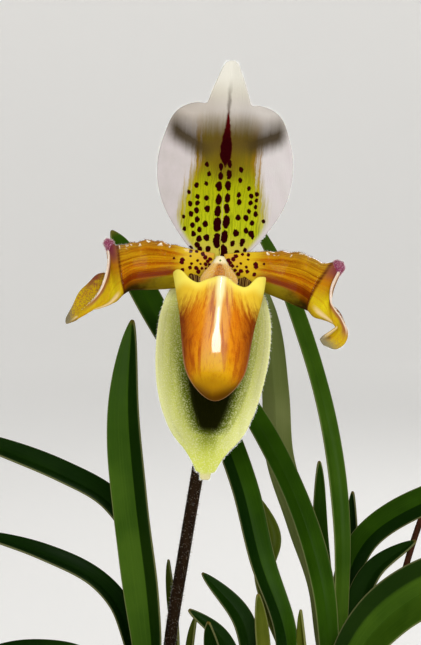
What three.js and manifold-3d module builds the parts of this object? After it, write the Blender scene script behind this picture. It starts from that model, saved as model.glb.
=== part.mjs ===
// Slipper orchid (Paphiopedilum) in a clay pot: six leafy growths in bark and one open flower.
// Millimetres, +Z up. The origin is the centre of the pot's base, and the flower faces -Y.
// Every leaf, sepal and petal is a curved sheet with a real thickness, laid out as a grid of points.
import * as THREE from "three";
import { mergeVertices } from "three/addons/utils/BufferGeometryUtils.js";
import Module from "manifold-3d";

const wasm = await Module();
wasm.setup();

// ---- driving dimensions ----
const POT = { baseRadius: 46, rimRadius: 66, height: 105, rimHeight: 20, wall: 4.5, base: 6 };
const DRAIN = { holes: 3, radius: 5, ring: 19 };
const BARK = { top: 95, chips: 44, chipLength: 15, seed: 7 };
const FLOWER = { place: [-12, -48, 255], noseUp: 4, roll: 3.7 }; // degrees
const GAP = 0.3; // between pieces that touch
const LEAF_THICKNESS = 0.8;
const PETAL_THICKNESS = 0.7;
const petalThickness = () => PETAL_THICKNESS;

const vec = (p) => new THREE.Vector3(...p);
const radians = THREE.MathUtils.degToRad;
const lerp = THREE.MathUtils.lerp;
const smooth = (x, low, high) => THREE.MathUtils.smoothstep(x, low, high);
const bump = (x, centre, width) => Math.exp(-(((x - centre) / width) ** 2));

// ---- solids ----

function geometryOf(points, triangles) {
  const geometry = new THREE.BufferGeometry().setFromPoints(points).setIndex(triangles);
  let volume = 0;
  for (let i = 0; i < triangles.length; i += 3) {
    const [a, b, c] = [0, 1, 2].map((k) => points[triangles[i + k]]);
    volume += a.dot(b.clone().cross(c));
  }
  if (volume < 0) geometry.setIndex(triangles.toReversed());
  return geometry;
}

function toSolid(geometry) {
  const bare = geometry.clone();
  bare.deleteAttribute("normal");
  bare.deleteAttribute("uv");
  const merged = mergeVertices(bare, 1e-3);
  const vertProperties = new Float32Array(merged.attributes.position.array);
  const triVerts = new Uint32Array(merged.index.array);
  return new wasm.Manifold(new wasm.Mesh({ numProp: 3, vertProperties, triVerts }));
}

function toGeometry(solid) {
  const mesh = solid.getMesh();
  return new THREE.BufferGeometry()
    .setAttribute("position", new THREE.BufferAttribute(new Float32Array(mesh.vertProperties), 3))
    .setIndex(new THREE.BufferAttribute(new Uint32Array(mesh.triVerts), 1));
}

// The largest body of a solid, so that a cut leaves no loose scrap.
function mainBody(solid) {
  return solid.decompose().reduce((best, body) => (body.volume() > best.volume() ? body : best));
}

// A grid of points in rows of equal length becomes a sheet, thicknessAt(share) thick along the rows.
// Both faces are split into triangles alike, so that a waved sheet never crosses itself.
function sheet(grid, thicknessAt) {
  const rows = grid.length;
  const cols = grid[0].length;
  const front = [];
  const back = [];
  for (let i = 0; i < rows; i++) {
    for (let j = 0; j < cols; j++) {
      const along = grid[Math.min(i + 1, rows - 1)][j].clone().sub(grid[Math.max(i - 1, 0)][j]);
      const across = grid[i][Math.min(j + 1, cols - 1)].clone().sub(grid[i][Math.max(j - 1, 0)]);
      const half = along.cross(across).setLength(thicknessAt(i / (rows - 1)) / 2);
      front.push(grid[i][j].clone().add(half));
      back.push(grid[i][j].clone().sub(half));
    }
  }
  const at = (i, j) => i * cols + j;
  const behind = rows * cols;
  const triangles = [];
  const quad = (a, b, c, d) => triangles.push(a, b, c, a, c, d);
  for (let i = 0; i + 1 < rows; i++) {
    for (let j = 0; j + 1 < cols; j++) {
      const [a, b, c, d] = [at(i, j), at(i + 1, j), at(i + 1, j + 1), at(i, j + 1)];
      triangles.push(a, b, c, a, c, d);
      triangles.push(behind + a, behind + c, behind + b, behind + a, behind + d, behind + c);
    }
  }
  const edge = (a, b) => quad(b, a, behind + a, behind + b);
  for (let i = 0; i + 1 < rows; i++) {
    edge(at(i, 0), at(i + 1, 0));
    edge(at(i + 1, cols - 1), at(i, cols - 1));
  }
  for (let j = 0; j + 1 < cols; j++) {
    edge(at(0, j + 1), at(0, j));
    edge(at(rows - 1, j), at(rows - 1, j + 1));
  }
  return geometryOf([...front, ...back], triangles);
}

// The same grid with its border moved outwards, for the room that a sheet needs round its edges.
function widened(grid, by) {
  const moved = (edge, inner) => edge.clone().add(edge.clone().sub(inner).setLength(by));
  const wide = grid.map((row) => {
    return [moved(row[0], row[1]), ...row.slice(1, -1), moved(row.at(-1), row.at(-2))];
  });
  const first = wide[0].map((p, j) => moved(p, wide[1][j]));
  const last = wide.at(-1).map((p, j) => moved(p, wide.at(-2)[j]));
  return [first, ...wide.slice(1, -1), last];
}

// Closed rings of points, one after another, with a fan over each end.
function loft(rings) {
  const sides = rings[0].length;
  const centre = (ring) => ring.reduce((sum, p) => sum.add(p), new THREE.Vector3()).divideScalar(sides);
  const points = [...rings.flat(), centre(rings[0]), centre(rings.at(-1))];
  const triangles = [];
  for (let i = 0; i + 1 < rings.length; i++) {
    for (let j = 0; j < sides; j++) {
      const [a, b] = [i * sides + j, i * sides + ((j + 1) % sides)];
      triangles.push(a, b, b + sides, a, b + sides, a + sides);
    }
  }
  const last = (rings.length - 1) * sides;
  for (let j = 0; j < sides; j++) {
    const next = (j + 1) % sides;
    triangles.push(rings.length * sides, next, j);
    triangles.push(rings.length * sides + 1, last + j, last + next);
  }
  return geometryOf(points, triangles);
}

// A round stem of even thickness.
function stem(curve, radius, steps, sides) {
  const section = new THREE.Shape();
  for (let j = 0; j < sides; j++) {
    const angle = (j / sides) * 2 * Math.PI;
    section[j ? "lineTo" : "moveTo"](radius * Math.cos(angle), radius * Math.sin(angle));
  }
  return new THREE.ExtrudeGeometry(section, { steps, extrudePath: curve });
}

// Rings round a curve: radiusAt(share, angle) gives the radius at a share of the length.
function stalk(curve, steps, sides, radiusAt) {
  const frames = curve.computeFrenetFrames(steps);
  const rings = [];
  for (let i = 0; i <= steps; i++) {
    const centre = curve.getPointAt(i / steps);
    const ring = [];
    for (let j = 0; j < sides; j++) {
      const angle = (j / sides) * 2 * Math.PI;
      const radius = radiusAt(i / steps, angle);
      ring.push(
        centre
          .clone()
          .addScaledVector(frames.normals[i], radius * Math.cos(angle))
          .addScaledVector(frames.binormals[i], radius * Math.sin(angle)),
      );
    }
    rings.push(ring);
  }
  return loft(rings);
}

// ---- finishes ----

function finish(color, roughness, metalness = 0) {
  return new THREE.MeshStandardMaterial({ color, roughness, metalness });
}

const MATERIALS = {
  clay: finish(0xa9603c, 0.85),
  bark: finish(0x4d3324, 0.95),
  leaf: finish(0x3c6a17, 0.45),
  youngLeaf: finish(0x6f8a2a, 0.5),
  scape: finish(0x5a3826, 0.8),
  ovary: finish(0x6f7a35, 0.75),
  dorsal: finish(0xe6e3d6, 0.6),
  synsepal: finish(0xb9c468, 0.65),
  petal: finish(0xc07a18, 0.4),
  lip: finish(0xcf7d1c, 0.25),
  column: finish(0xefc76a, 0.4),
};

const plant = new THREE.Group();
const flower = new THREE.Group();

function add(name, geometry, material, parent = plant) {
  const mesh = new THREE.Mesh(geometry, material);
  mesh.name = name;
  parent.add(mesh);
}

// ---- pot and bark ----

// A [radius, height] profile turned about the Z axis.
function turned(profile, sides) {
  const outline = profile.map(([radius, height]) => new THREE.Vector2(radius, height));
  return new THREE.LatheGeometry(outline, sides).rotateX(Math.PI / 2);
}

function potShell() {
  const { baseRadius, rimRadius, height, rimHeight, wall, base } = POT;
  const collar = height - rimHeight;
  const underRim = rimRadius - 3.5;
  const profile = [
    [0, 0],
    [baseRadius - 1.5, 0],
    [baseRadius, 1.5],
    [underRim, collar - 1],
    [rimRadius - 1, collar],
    [rimRadius, collar + 2],
    [rimRadius, height - 1.5],
    [rimRadius - 1.5, height],
    [rimRadius - wall, height],
    [rimRadius - wall - 1, height - 1.5],
    [rimRadius - wall - 1.5, collar],
    [baseRadius - wall + 1, 8],
    [baseRadius - wall - 2, base],
    [0, base],
  ];
  let shell = toSolid(turned(profile, 32));
  for (let i = 0; i < DRAIN.holes; i++) {
    const hole = new THREE.CylinderGeometry(DRAIN.radius, DRAIN.radius, 3 * base, 16).rotateX(Math.PI / 2);
    hole.translate(DRAIN.ring, 0, 0).rotateZ((i / DRAIN.holes) * 2 * Math.PI + Math.PI / 2);
    shell = shell.subtract(toSolid(hole));
  }
  return toGeometry(shell);
}

function seededRandom(seed) {
  let state = seed;
  return () => {
    state = (state * 1664525 + 1013904223) % 4294967296;
    return state / 4294967296;
  };
}

// The mix fills the pot, with chips of bark standing out of its top and a socket for each growth.
function barkMix(sockets) {
  const random = seededRandom(BARK.seed);
  const wallRadius = POT.rimRadius - POT.wall - 1.5 - 2 * GAP;
  const profile = [
    [0, POT.base + GAP],
    [POT.baseRadius - POT.wall - 2.5, POT.base + GAP],
    [POT.baseRadius - POT.wall + 0.3, 8.5],
    [wallRadius, POT.height - POT.rimHeight + 1],
    [wallRadius + 0.2, BARK.top - 1],
    [0, BARK.top],
  ];
  let mix = toSolid(turned(profile, 24));
  for (let i = 0; i < BARK.chips; i++) {
    const reach = Math.sqrt((i + 0.5) / BARK.chips) * (wallRadius - BARK.chipLength * 0.62);
    const angle = i * radians(137.5);
    const size = [lerp(0.7, 1.15, random()), lerp(0.45, 0.75, random()), lerp(0.3, 0.45, random())];
    const chip = new THREE.BoxGeometry(...size.map((s) => s * BARK.chipLength));
    const corners = chip.getAttribute("position");
    const skew = lerp(-0.2, 0.2, random());
    for (let k = 0; k < corners.count; k++) {
      corners.setX(k, corners.getX(k) * (1 + (skew * corners.getY(k)) / 4));
    }
    chip
      .rotateX(lerp(-0.35, 0.35, random()))
      .rotateY(lerp(-0.3, 0.3, random()))
      .rotateZ(random() * Math.PI)
      .translate(reach * Math.cos(angle), reach * Math.sin(angle), BARK.top + lerp(-0.6, 1, random()));
    mix = mix.add(toSolid(chip));
  }
  for (const { place, reach, breadth } of sockets) {
    const socket = new THREE.CylinderGeometry(1, 1, 30, 20).rotateX(Math.PI / 2).scale(reach, breadth, 1);
    mix = mix.subtract(toSolid(socket.translate(place[0], place[1], BARK.top - 6 - GAP + 15)));
  }
  return toGeometry(mainBody(mix));
}

// ---- leaves ----

// Leaf bases clasp each other in a flat fan, alternating left and right, the outermost first.
// Order 0 is outermost, core is the room in the middle of a fan, and a leaf's route starts above its sheath.
const SHEATH = {
  pitch: 1.1,
  radius: 2.8,
  core: 0.3,
  bottom: BARK.top - 6,
  halfWidth: 6,
  thickness: 0.6,
  opening: 16,
};
const sheathTop = (order) => BARK.top + 5 + 3.2 * order;

function leafSpine(growth, leaf) {
  const inner = growth.leaves.length - 1 - leaf.order;
  const reach = SHEATH.radius + (growth.core ?? SHEATH.core) + inner * SHEATH.pitch;
  const x = growth.place[0] + leaf.side * reach;
  const y = growth.place[1];
  const top = sheathTop(leaf.order);
  return [[x, y, SHEATH.bottom], [x, y, (SHEATH.bottom + top) / 2], [x, y, top], ...leaf.route];
}

function leafGrid(growth, leaf, rows) {
  const curve = new THREE.CatmullRomCurve3(leafSpine(growth, leaf).map(vec), false, "centripetal");
  curve.arcLengthDivisions = 400;
  const inner = growth.leaves.length - 1 - leaf.order;
  const clasp = SHEATH.radius + inner * SHEATH.pitch;
  const length = curve.getLength();
  const sheathShare = (sheathTop(leaf.order) - SHEATH.bottom) / length;
  const openShare = sheathShare + SHEATH.opening / length;
  const toAxis = new THREE.Vector3(-leaf.side, 0, 0);
  const face = vec(leaf.face);
  const columns = [-1, -0.5, 0, 0.5, 1];
  const grid = [];
  for (let i = 0; i < rows; i++) {
    const share = i / (rows - 1);
    const open = smooth(share, sheathShare * 0.8, openShare);
    const swung = smooth(share, sheathShare, Math.min(openShare + 0.15, 0.95));
    const centre = curve.getPointAt(share);
    const tangent = curve.getTangentAt(share);
    const facing = toAxis.clone().lerp(face, swung);
    facing.addScaledVector(tangent, -facing.dot(tangent)).normalize();
    const across = tangent.clone().cross(facing);
    const fold = lerp(radians(86), radians(leaf.fold ?? 28), open);
    const radius = lerp(clasp, 1.6, open);
    const blade = leaf.halfWidth * lerp(0.72, 1, smooth(share, openShare, openShare + 0.3));
    const width = lerp(SHEATH.halfWidth, blade, open) * leafTaper(share);
    grid.push(
      columns.map((c) => {
        const run = Math.abs(c) * width;
        const turn = Math.min(run / radius, fold);
        const rest = Math.max(run - radius * fold, 0);
        const sideways = radius * Math.sin(turn) + rest * Math.cos(fold);
        const inwards = radius * (1 - Math.cos(turn)) + rest * Math.sin(fold);
        return centre
          .clone()
          .addScaledVector(across, Math.sign(c) * sideways)
          .addScaledVector(facing, inwards);
      }),
    );
  }
  return grid;
}

const leafThickness = (share) => lerp(SHEATH.thickness, LEAF_THICKNESS, smooth(share, 0.1, 0.35));

// Strap-shaped: even for most of the length, then drawn in to a blunt point.
function leafTaper(share) {
  const end = Math.max((share - 0.62) / 0.38, 0);
  return Math.max(Math.sqrt(Math.max(1 - end ** 2.2, 0)), 0.07);
}

const GROWTHS = [
  {
    name: "front_left",
    place: [-34, -16],
    leaves: [
      { side: -1, halfWidth: 6, face: [0.3, -0.3, 1],
        route: [[-42, -16, 119], [-52, -17, 131], [-70, -21, 135], [-96, -24, 131]] },
      { side: 1, halfWidth: 7.2, face: [-0.47, -0.88, 0], fold: 32,
        route: [[-32, -12, 130], [-34, -13, 155], [-37, -16, 182], [-39, -18, 210], [-38, -17, 238]] },
    ],
  },
  {
    name: "left",
    place: [-29, 3],
    core: 1.7,
    leaves: [
      { side: 1, halfWidth: 3.6, face: [-0.3, -1, 0.2],
        route: [[-18, -2, 114], [-13, -18, 131], [-15, -34, 149]] },
      { side: -1, halfWidth: 4.8, face: [0.25, -0.5, 0.87],
        route: [[-40, 2, 134], [-44, 4, 144], [-52, 6, 152], [-68, 6, 160], [-90, 0, 169]] },
      { side: 1, halfWidth: 3, face: [-0.8, -0.5, 0.2], route: [[-21, 2, 125], [-19, -3, 143]] },
      { side: -1, halfWidth: 5.6, face: [0.25, -0.6, 0.78],
        route: [[-37, 2, 150], [-39, 3, 168], [-47, 4, 179], [-62, 2, 188], [-100, -7, 203]] },
      { side: 1, halfWidth: 3, face: [-0.8, -0.6, 0.1], route: [[-25, 5, 135], [-28, 10, 158]] },
    ],
  },
  {
    name: "middle",
    place: [5, -15],
    leaves: [
      { side: -1, halfWidth: 3.4, face: [0.3, -0.9, 0.5],
        route: [[-5, -18, 120], [-11, -20, 140], [-21, -19, 149]] },
      { side: 1, halfWidth: 3.9, face: [0.3, -1, 0.1],
        route: [[11, -10, 128], [4, -4, 148], [2, -2, 158], [5, 0, 167], [1, 3, 179]] },
      { side: -1, halfWidth: 4.2, face: [0.4, -1, 0.3],
        route: [[-2, -13, 127], [-5, -12, 144], [-17, -9, 158]] },
      { side: 1, halfWidth: 4.3, face: [0.4, -0.9, 0.1],
        route: [[9, -14, 138], [1, -8, 161], [-5, 3, 184], [-14, 15, 205], [-32, 24, 231], [-48, 15, 264]] },
      { side: -1, halfWidth: 3, face: [0.2, -1, 0], route: [[2, -17, 130], [0, -20, 154]] },
    ],
  },
  {
    name: "front_right",
    place: [21, -21],
    leaves: [
      { side: -1, halfWidth: 2.8, face: [-0.8, -0.6, 0.2], route: [[15, -19, 124], [13, -15, 148]] },
      { side: 1, halfWidth: 9.6, face: [-0.5, -0.6, 0.65],
        route: [[26, -20, 120], [30, -21, 135], [40, -28, 150], [56, -41, 163], [84, -55, 172]] },
    ],
  },
  {
    name: "right",
    place: [29, -4],
    leaves: [
      { side: -1, halfWidth: 4.6, face: [0.2, -1, 0.1],
        route: [[22, -8, 134], [20, -6, 154], [14, 2, 175], [4, 12, 196], [-10, 22, 218], [-21, 28, 236]] },
      { side: 1, halfWidth: 5.2, face: [-0.3, -0.65, 0.75],
        route: [[35, -3, 130], [33, -3, 146], [37, -5, 157], [49, -9, 168]] },
      { side: -1, halfWidth: 3.4, face: [0.3, -1, 0],
        route: [[26, -5, 143], [26, -4, 172], [23, 5, 202], [16, 18, 231], [6, 36, 258], [-6, 44, 278]] },
      { side: 1, halfWidth: 5.4, face: [-0.25, -0.87, 0.43],
        route: [[31, 1, 130], [29, 8, 149], [35, 8, 164], [53, -3, 179], [82, -22, 190]] },
    ],
  },
  {
    name: "back",
    place: [27, 27],
    leaves: [
      { side: -1, halfWidth: 5, face: [0.2, 1, 0.1],
        route: [[22, 22, 143], [16, 23, 166], [9, 25, 188], [6, 27, 210], [3, 30, 234], [-4, 33, 256]] },
      { side: 1, halfWidth: 3.4, face: [-0.5, -0.8, 0],
        route: [[32, 28, 135], [33, 32, 155], [33, 33, 176]] },
      { side: -1, halfWidth: 2.9, face: [0.3, -1, 0],
        route: [[24, 30, 135], [22, 34, 162], [22, 34, 186]] },
    ],
  },
];
for (const growth of GROWTHS) growth.leaves.forEach((leaf, order) => (leaf.order = order));

// ---- flower stem ----

const scapeCurve = new THREE.CatmullRomCurve3(
  [
    [-29, 3, BARK.top - 6],
    [-29, 2, 112],
    [-27, 0, 135],
    [-22, -5, 167],
    [-17, -10, 198],
    [-14, -14, 222],
  ].map(vec),
);
const SCAPE_RADIUS = 1.95;
const OLD_SCAPE_RADIUS = 1.2;
const ovaryCurve = new THREE.CatmullRomCurve3(
  [
    [-13.9, -14.1, 222.6],
    [-13, -16, 236],
    [-12, -22, 248],
    [-12, -32, 254.5],
    [-12, -43.8, 254.8],
  ].map(vec),
);
const oldScapeCurve = new THREE.CatmullRomCurve3(
  [
    [39, 27, BARK.top - 6],
    [39, 27, 100],
    [43, 30, 118],
    [48, 33, 139],
    [54, 39, 157],
    [61, 45, 174],
  ].map(vec),
);

// The ovary swells in its middle and has six low ribs.
function ovaryRadius(share, angle) {
  const swell = 2.1 + Math.sin(Math.PI * Math.min(share * 1.1, 1)) ** 0.7;
  return swell * (1 + 0.07 * Math.cos(6 * angle));
}

// The bract clasps the foot of the ovary: a small folded leaf, open on the side away from the flower.
function bractGrid() {
  const curve = new THREE.CatmullRomCurve3(
    [[-14.2, -10.6, 220], [-13, -11, 232], [-12, -13, 246], [-11, -10, 258]].map(vec),
  );
  const grid = [];
  for (let i = 0; i <= 9; i++) {
    const share = i / 9;
    const centre = curve.getPointAt(share);
    const tangent = curve.getTangentAt(share);
    const facing = new THREE.Vector3(0, -1, 0.2);
    facing.addScaledVector(tangent, -facing.dot(tangent)).normalize();
    const across = tangent.clone().cross(facing);
    const width = 8 * Math.sqrt(Math.max(1 - share ** 3, 0.01));
    const radius = 4.2;
    grid.push(
      [-1, -0.66, -0.33, 0, 0.33, 0.66, 1].map((c) => {
        const turn = (c * width) / radius;
        return centre
          .clone()
          .addScaledVector(across, radius * Math.sin(turn))
          .addScaledVector(facing, radius * (1 - Math.cos(turn)));
      }),
    );
  }
  return grid;
}

// ---- flower, in its own frame: +X right, +Z up, -Y towards the front, origin where the parts meet ----

// Half outlines run from the base to the tip as [half width, height].
const DORSAL_EDGE = [
  [1.5, 1.4], [9.4, 4.6], [14.6, 12], [17.7, 17.2], [18.9, 24.5],
  [18.6, 31], [16.8, 36.4], [14.6, 40.3], [11.6, 42.4], [8.4, 43.4],
  [6.4, 43.5], [5.3, 45.4], [3.4, 50], [1.8, 54.2], [0.4, 55.8],
];
const SYNSEPAL_EDGE = [
  [3, -4], [12.4, -7.4], [15.2, -13.6], [16, -21], [15.8, -28], [14.6, -36], [12.3, -43.6],
  [9.4, -49.2], [6.4, -53.2], [4, -56.6], [2.8, -58.6], [1.6, -60.4], [0.5, -61.1],
];

function curveThrough(points) {
  return new THREE.CatmullRomCurve3(points.map(([x, z]) => new THREE.Vector3(x, 0, z)), false, "centripetal");
}

// One row for each point of the edge. depth(x, z) is how far back a point lies.
function sepalGrid(edge, columns, depth) {
  const outline = curveThrough(edge);
  const rows = edge.length;
  const grid = [];
  for (let i = 0; i < rows; i++) {
    const share = i / (rows - 1);
    const rim = outline.getPoint(share);
    const centre = lerp(edge[0][1], edge.at(-1)[1], share);
    const row = [];
    for (let j = 0; j < columns; j++) {
      const c = (2 * j) / (columns - 1) - 1;
      const x = c * rim.x;
      const z = lerp(centre, rim.z, Math.abs(c) ** 1.6);
      row.push(new THREE.Vector3(x, depth(x, z), z));
    }
    grid.push(row);
  }
  return grid;
}

// The dorsal sepal leans forward. Its upper third steps forward and its tip is a pinched hood.
function dorsalDepth(x, z) {
  const lean = 1.6 - 0.1 * z;
  const cup = 0.0055 * x * x * smooth(z, 2, 20);
  const step = 4.2 * smooth(z, 33, 40.5) * (0.55 + 0.45 * smooth(Math.abs(x), 2, 9));
  const brim = 2.4 * smooth(z, 40.5, 46) * smooth(Math.abs(x), 5, 11);
  const hood = 1.1 * smooth(z, 41, 50) * (1 - bump(x, 0, 2.2));
  return lean - cup - step + brim - hood;
}

// The two lower sepals are one boat-shaped sheet behind the pouch.
function synsepalDepth(x, z) {
  const hollow = 5.5 * bump(z, -27, 22) * (1 - (x / 17) ** 2);
  const tip = 3.5 * smooth(-z, 42, 61);
  return 2.6 + hollow - tip - 0.012 * x * x * bump(z, -30, 20);
}

// A petal hangs on three rails: upper edge, midrib and lower edge, as [x, y, z] in the flower's frame.
// The broad part faces forward with its lower half rolled back; the end is turned, with a hollow (cup).
const PETAL_LEFT = [
  { upper: [-2, 0.6, 0.8], rib: [-2, 0.2, -0.4], lower: [-2, 1, -1.6], cup: 0 },
  { upper: [-8.3, 0, 2.5], rib: [-8.5, -1.5, -3.6], lower: [-8.2, 1, -6.2], cup: 0 },
  { upper: [-14, -0.8, 3.4], rib: [-14, -2.5, -5.1], lower: [-13.7, 1.8, -7.6], cup: 0.2 },
  { upper: [-19.7, 0.4, 4.6], rib: [-19.5, -3, -6.3], lower: [-19.3, 2.8, -8.3], cup: 0.3 },
  { upper: [-25.3, -0.6, 4.6], rib: [-24, -3.5, -7.4], lower: [-24.3, 3.5, -8.9], cup: 0 },
  { upper: [-29.4, -1.6, 3.2], rib: [-26.6, -5.2, -9.4], lower: [-27.5, 3.4, -9.2], cup: -0.8 },
  { upper: [-32.2, 1.6, 4.8], rib: [-27.9, -5, -11.8], lower: [-30, 5, -7.2], cup: 1.4 },
  { upper: [-31.6, -1, 0.5], rib: [-29.6, -4.6, -13.6], lower: [-31.6, 5, -5], cup: 2 },
  { upper: [-32, -3.6, -5], rib: [-31.8, -4.5, -14.8], lower: [-34, 4, -5.4], cup: 1.6 },
  { upper: [-33.6, -4.6, -10.5], rib: [-34.6, -4.5, -15.7], lower: [-36.4, 2, -7.6], cup: 0.8 },
  { upper: [-36.2, -4.2, -15.1], rib: [-37.3, -4, -17.2], lower: [-38.5, 0, -10.8], cup: 0.2 },
  { upper: [-39.1, -3, -17.6], rib: [-39.6, -3.2, -19], lower: [-40, -1.4, -15], cup: 0 },
  { upper: [-41.2, -2.2, -19], rib: [-41.5, -2, -19.8], lower: [-41.5, -1.2, -18.6], cup: 0 },
];
const PETAL_RIGHT = [
  { upper: [2, 0.6, 0.8], rib: [2, 0.2, -0.4], lower: [2, 1, -1.6], cup: 0 },
  { upper: [8, 0, 3.1], rib: [8.2, -1.5, -3.6], lower: [8.2, 1, -6], cup: 0 },
  { upper: [13.5, -0.8, 4.1], rib: [13.5, -2.5, -5.1], lower: [13.5, 1.8, -7.4], cup: 0.2 },
  { upper: [18.5, 0.4, 3.9], rib: [18.9, -3, -6.6], lower: [19.1, 3, -9.2], cup: 0.3 },
  { upper: [23.8, -0.6, 3.5], rib: [23.5, -3.5, -8.3], lower: [23.5, 3.5, -10.6], cup: 0 },
  { upper: [29.4, -1.6, 1.5], rib: [26.3, -5.2, -10], lower: [26.8, 3.4, -11.4], cup: -0.8 },
  { upper: [35, 1.4, 2.4], rib: [28.3, -5, -12.2], lower: [28.4, 5, -10.6], cup: 1.2 },
  { upper: [33.6, -1, -1], rib: [30.2, -4.8, -13.4], lower: [30.6, 6, -10], cup: 1.8 },
  { upper: [32.2, -3.2, -5], rib: [31.8, -4.6, -14.4], lower: [32.6, 6, -10], cup: 1.6 },
  { upper: [32.4, -4.2, -9.4], rib: [33.2, -4.6, -15.4], lower: [34.4, 5, -11.2], cup: 1 },
  { upper: [34.8, -3.6, -13.2], rib: [33.6, -5, -16.2], lower: [35.8, 3.6, -13.4], cup: 1 },
  { upper: [37.2, -2, -17.2], rib: [32.8, -5.4, -17], lower: [36.8, 3, -16], cup: 2.6 },
  { upper: [36.6, -2, -20.4], rib: [31.7, -5.4, -17.9], lower: [35.6, 2.6, -18.8], cup: 2.8 },
  { upper: [34, -2.6, -22.3], rib: [30.4, -5, -18.9], lower: [33, 1, -20.4], cup: 1.6 },
  { upper: [30.6, -3.8, -21.4], rib: [29.4, -4.2, -20], lower: [30.6, -2.6, -20.6], cup: 0.2 },
];

function petalGrid(stations, rows, columns) {
  const rail = (key) => new THREE.CatmullRomCurve3(stations.map((s) => vec(s[key])), false, "centripetal");
  const rails = { upper: rail("upper"), rib: rail("rib"), lower: rail("lower") };
  const grid = [];
  for (let i = 0; i < rows; i++) {
    const share = i / (rows - 1);
    const at = share * (stations.length - 1);
    const k = Math.min(Math.floor(at), stations.length - 2);
    const cup = lerp(stations[k].cup, stations[k + 1].cup, at - k);
    const [upper, rib, lower] = [rails.upper, rails.rib, rails.lower].map((r) => r.getPoint(share));
    const row = [];
    for (let j = 0; j < columns; j++) {
      const c = (2 * j) / (columns - 1) - 1;
      const p = upper
        .clone()
        .multiplyScalar((c * (c - 1)) / 2)
        .addScaledVector(rib, 1 - c * c)
        .addScaledVector(lower, (c * (c + 1)) / 2);
      if (c < 0) p.y += cup * 4 * -c * (1 + c);
      row.push(p);
    }
    grid.push(row);
  }
  return grid;
}

// The pouch: [height, half width, front, back] of its outside from the toe up.
const POUCH = [
  [-38.4, 0.6, -14.6, -13.4],
  [-37.8, 3, -17.6, -10.4],
  [-36, 5.5, -20.6, -8],
  [-33, 7.6, -22.8, -6.4],
  [-28, 9.2, -24.2, -5.2],
  [-22, 10, -24.6, -4.4],
  [-15, 10.8, -23.8, -3.8],
  [-9, 11.9, -22.4, -3.4],
  [-3, 13, -21, -3],
];
const POUCH_WALL = 0.9;

// The rim has a hump in front, a dip each side of it, an ear at each front corner and a high back.
function pouchRim(x, front) {
  const brow = -7.4 + 3.2 * bump(x, 0.5, 3.2) + 4.4 * bump(Math.abs(x), 12.6, 2.6);
  return lerp(-6.8 - 1.2 * bump(Math.abs(x), 9, 4), brow, smooth(front, -0.35, 0.3));
}

function pouchPoint(height, angle, inset) {
  const above = POUCH.findIndex((row) => row[0] >= height);
  const k = above < 0 ? POUCH.length - 1 : Math.max(above, 1);
  const [low, high] = [POUCH[k - 1], POUCH[k]];
  const share = (height - low[0]) / (high[0] - low[0]);
  const [halfWidth, front, back] = [1, 2, 3].map((n) => lerp(low[n], high[n], share));
  const depth = (back - front) / 2;
  const keep = (size) => Math.max(size - inset, size * 0.3);
  const lean = 0.3 - 0.02 * height;
  const x = lean + keep(halfWidth) * Math.cos(angle);
  return new THREE.Vector3(x, (front + back) / 2 + keep(depth) * Math.sin(angle), height);
}

function pouch(sides = 26) {
  const shares = [0, 0.02, 0.07, 0.15, 0.28, 0.44, 0.6, 0.76, 0.88, 1];
  const ringAt = (share, inset, lift) => {
    const ring = [];
    for (let j = 0; j < sides; j++) {
      const angle = (j / sides) * 2 * Math.PI;
      const rim = pouchRim(12.6 * Math.cos(angle), -Math.sin(angle));
      ring.push(pouchPoint(lerp(POUCH[0][0] + lift, rim, share), angle, inset));
    }
    return ring;
  };
  const outside = shares.map((share) => ringAt(share, 0, 0));
  const inside = shares.slice(2).map((share) => ringAt(share, POUCH_WALL, POUCH_WALL)).reverse();
  return loft([...outside, ...inside]);
}

// The column carries the shield-shaped staminode over the pouch's mouth, with an anther each side of it
// and the stigma below.
function column() {
  const shield = [];
  for (let i = 0; i <= 7; i++) {
    const share = i / 7;
    const halfWidth = lerp(0.9, 5.6, smooth(share, -0.15, 0.8)) * (1 - 0.45 * smooth(share, 0.8, 1));
    const row = [];
    for (let j = 0; j <= 6; j++) {
      const c = j / 3 - 1;
      const dome = 1.3 * (1 - c * c) * Math.sin(Math.PI * Math.min(share + 0.15, 1));
      const height = 1.1 - 8.8 * share + 0.5 * c * c * share;
      row.push(new THREE.Vector3(c * halfWidth + 0.3, -3.4 - 8.2 * share - dome, height));
    }
    shield.push(row);
  }
  const rodCurve = new THREE.CatmullRomCurve3(
    [[0, 3.6, -0.5], [0, 0, -0.5], [0, -3, -1.2], [0.2, -6.2, -3]].map(vec),
  );
  const rod = stalk(rodCurve, 6, 10, (share) => lerp(1, 2.4, smooth(share, 0.4, 0.75)));
  let solid = toSolid(sheet(shield, () => 1.3)).add(toSolid(rod));
  for (const side of [-1, 1]) {
    solid = solid.add(toSolid(new THREE.SphereGeometry(1.3, 8, 6).translate(0.2 + 2.3 * side, -5, -4)));
  }
  const stigma = new THREE.SphereGeometry(1.9, 8, 6).scale(1, 1.3, 0.6).translate(0.2, -5.6, -5.4);
  return toGeometry(solid.add(toSolid(stigma)));
}

// ---- assembly ----

flower.rotation.set(radians(-FLOWER.noseUp), radians(FLOWER.roll), 0);
flower.position.set(...FLOWER.place);

const sockets = GROWTHS.map(({ place, core, leaves }) => ({
  place,
  reach: SHEATH.radius + (core ?? SHEATH.core) + leaves.length * SHEATH.pitch + 0.8,
  breadth: SHEATH.radius + leaves.length * SHEATH.pitch + 0.8,
}));
sockets.push({ place: [39, 27], reach: 2.4, breadth: 2.4 });
add("pot", potShell(), MATERIALS.clay);
add("bark_mix", barkMix(sockets), MATERIALS.bark);

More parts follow.
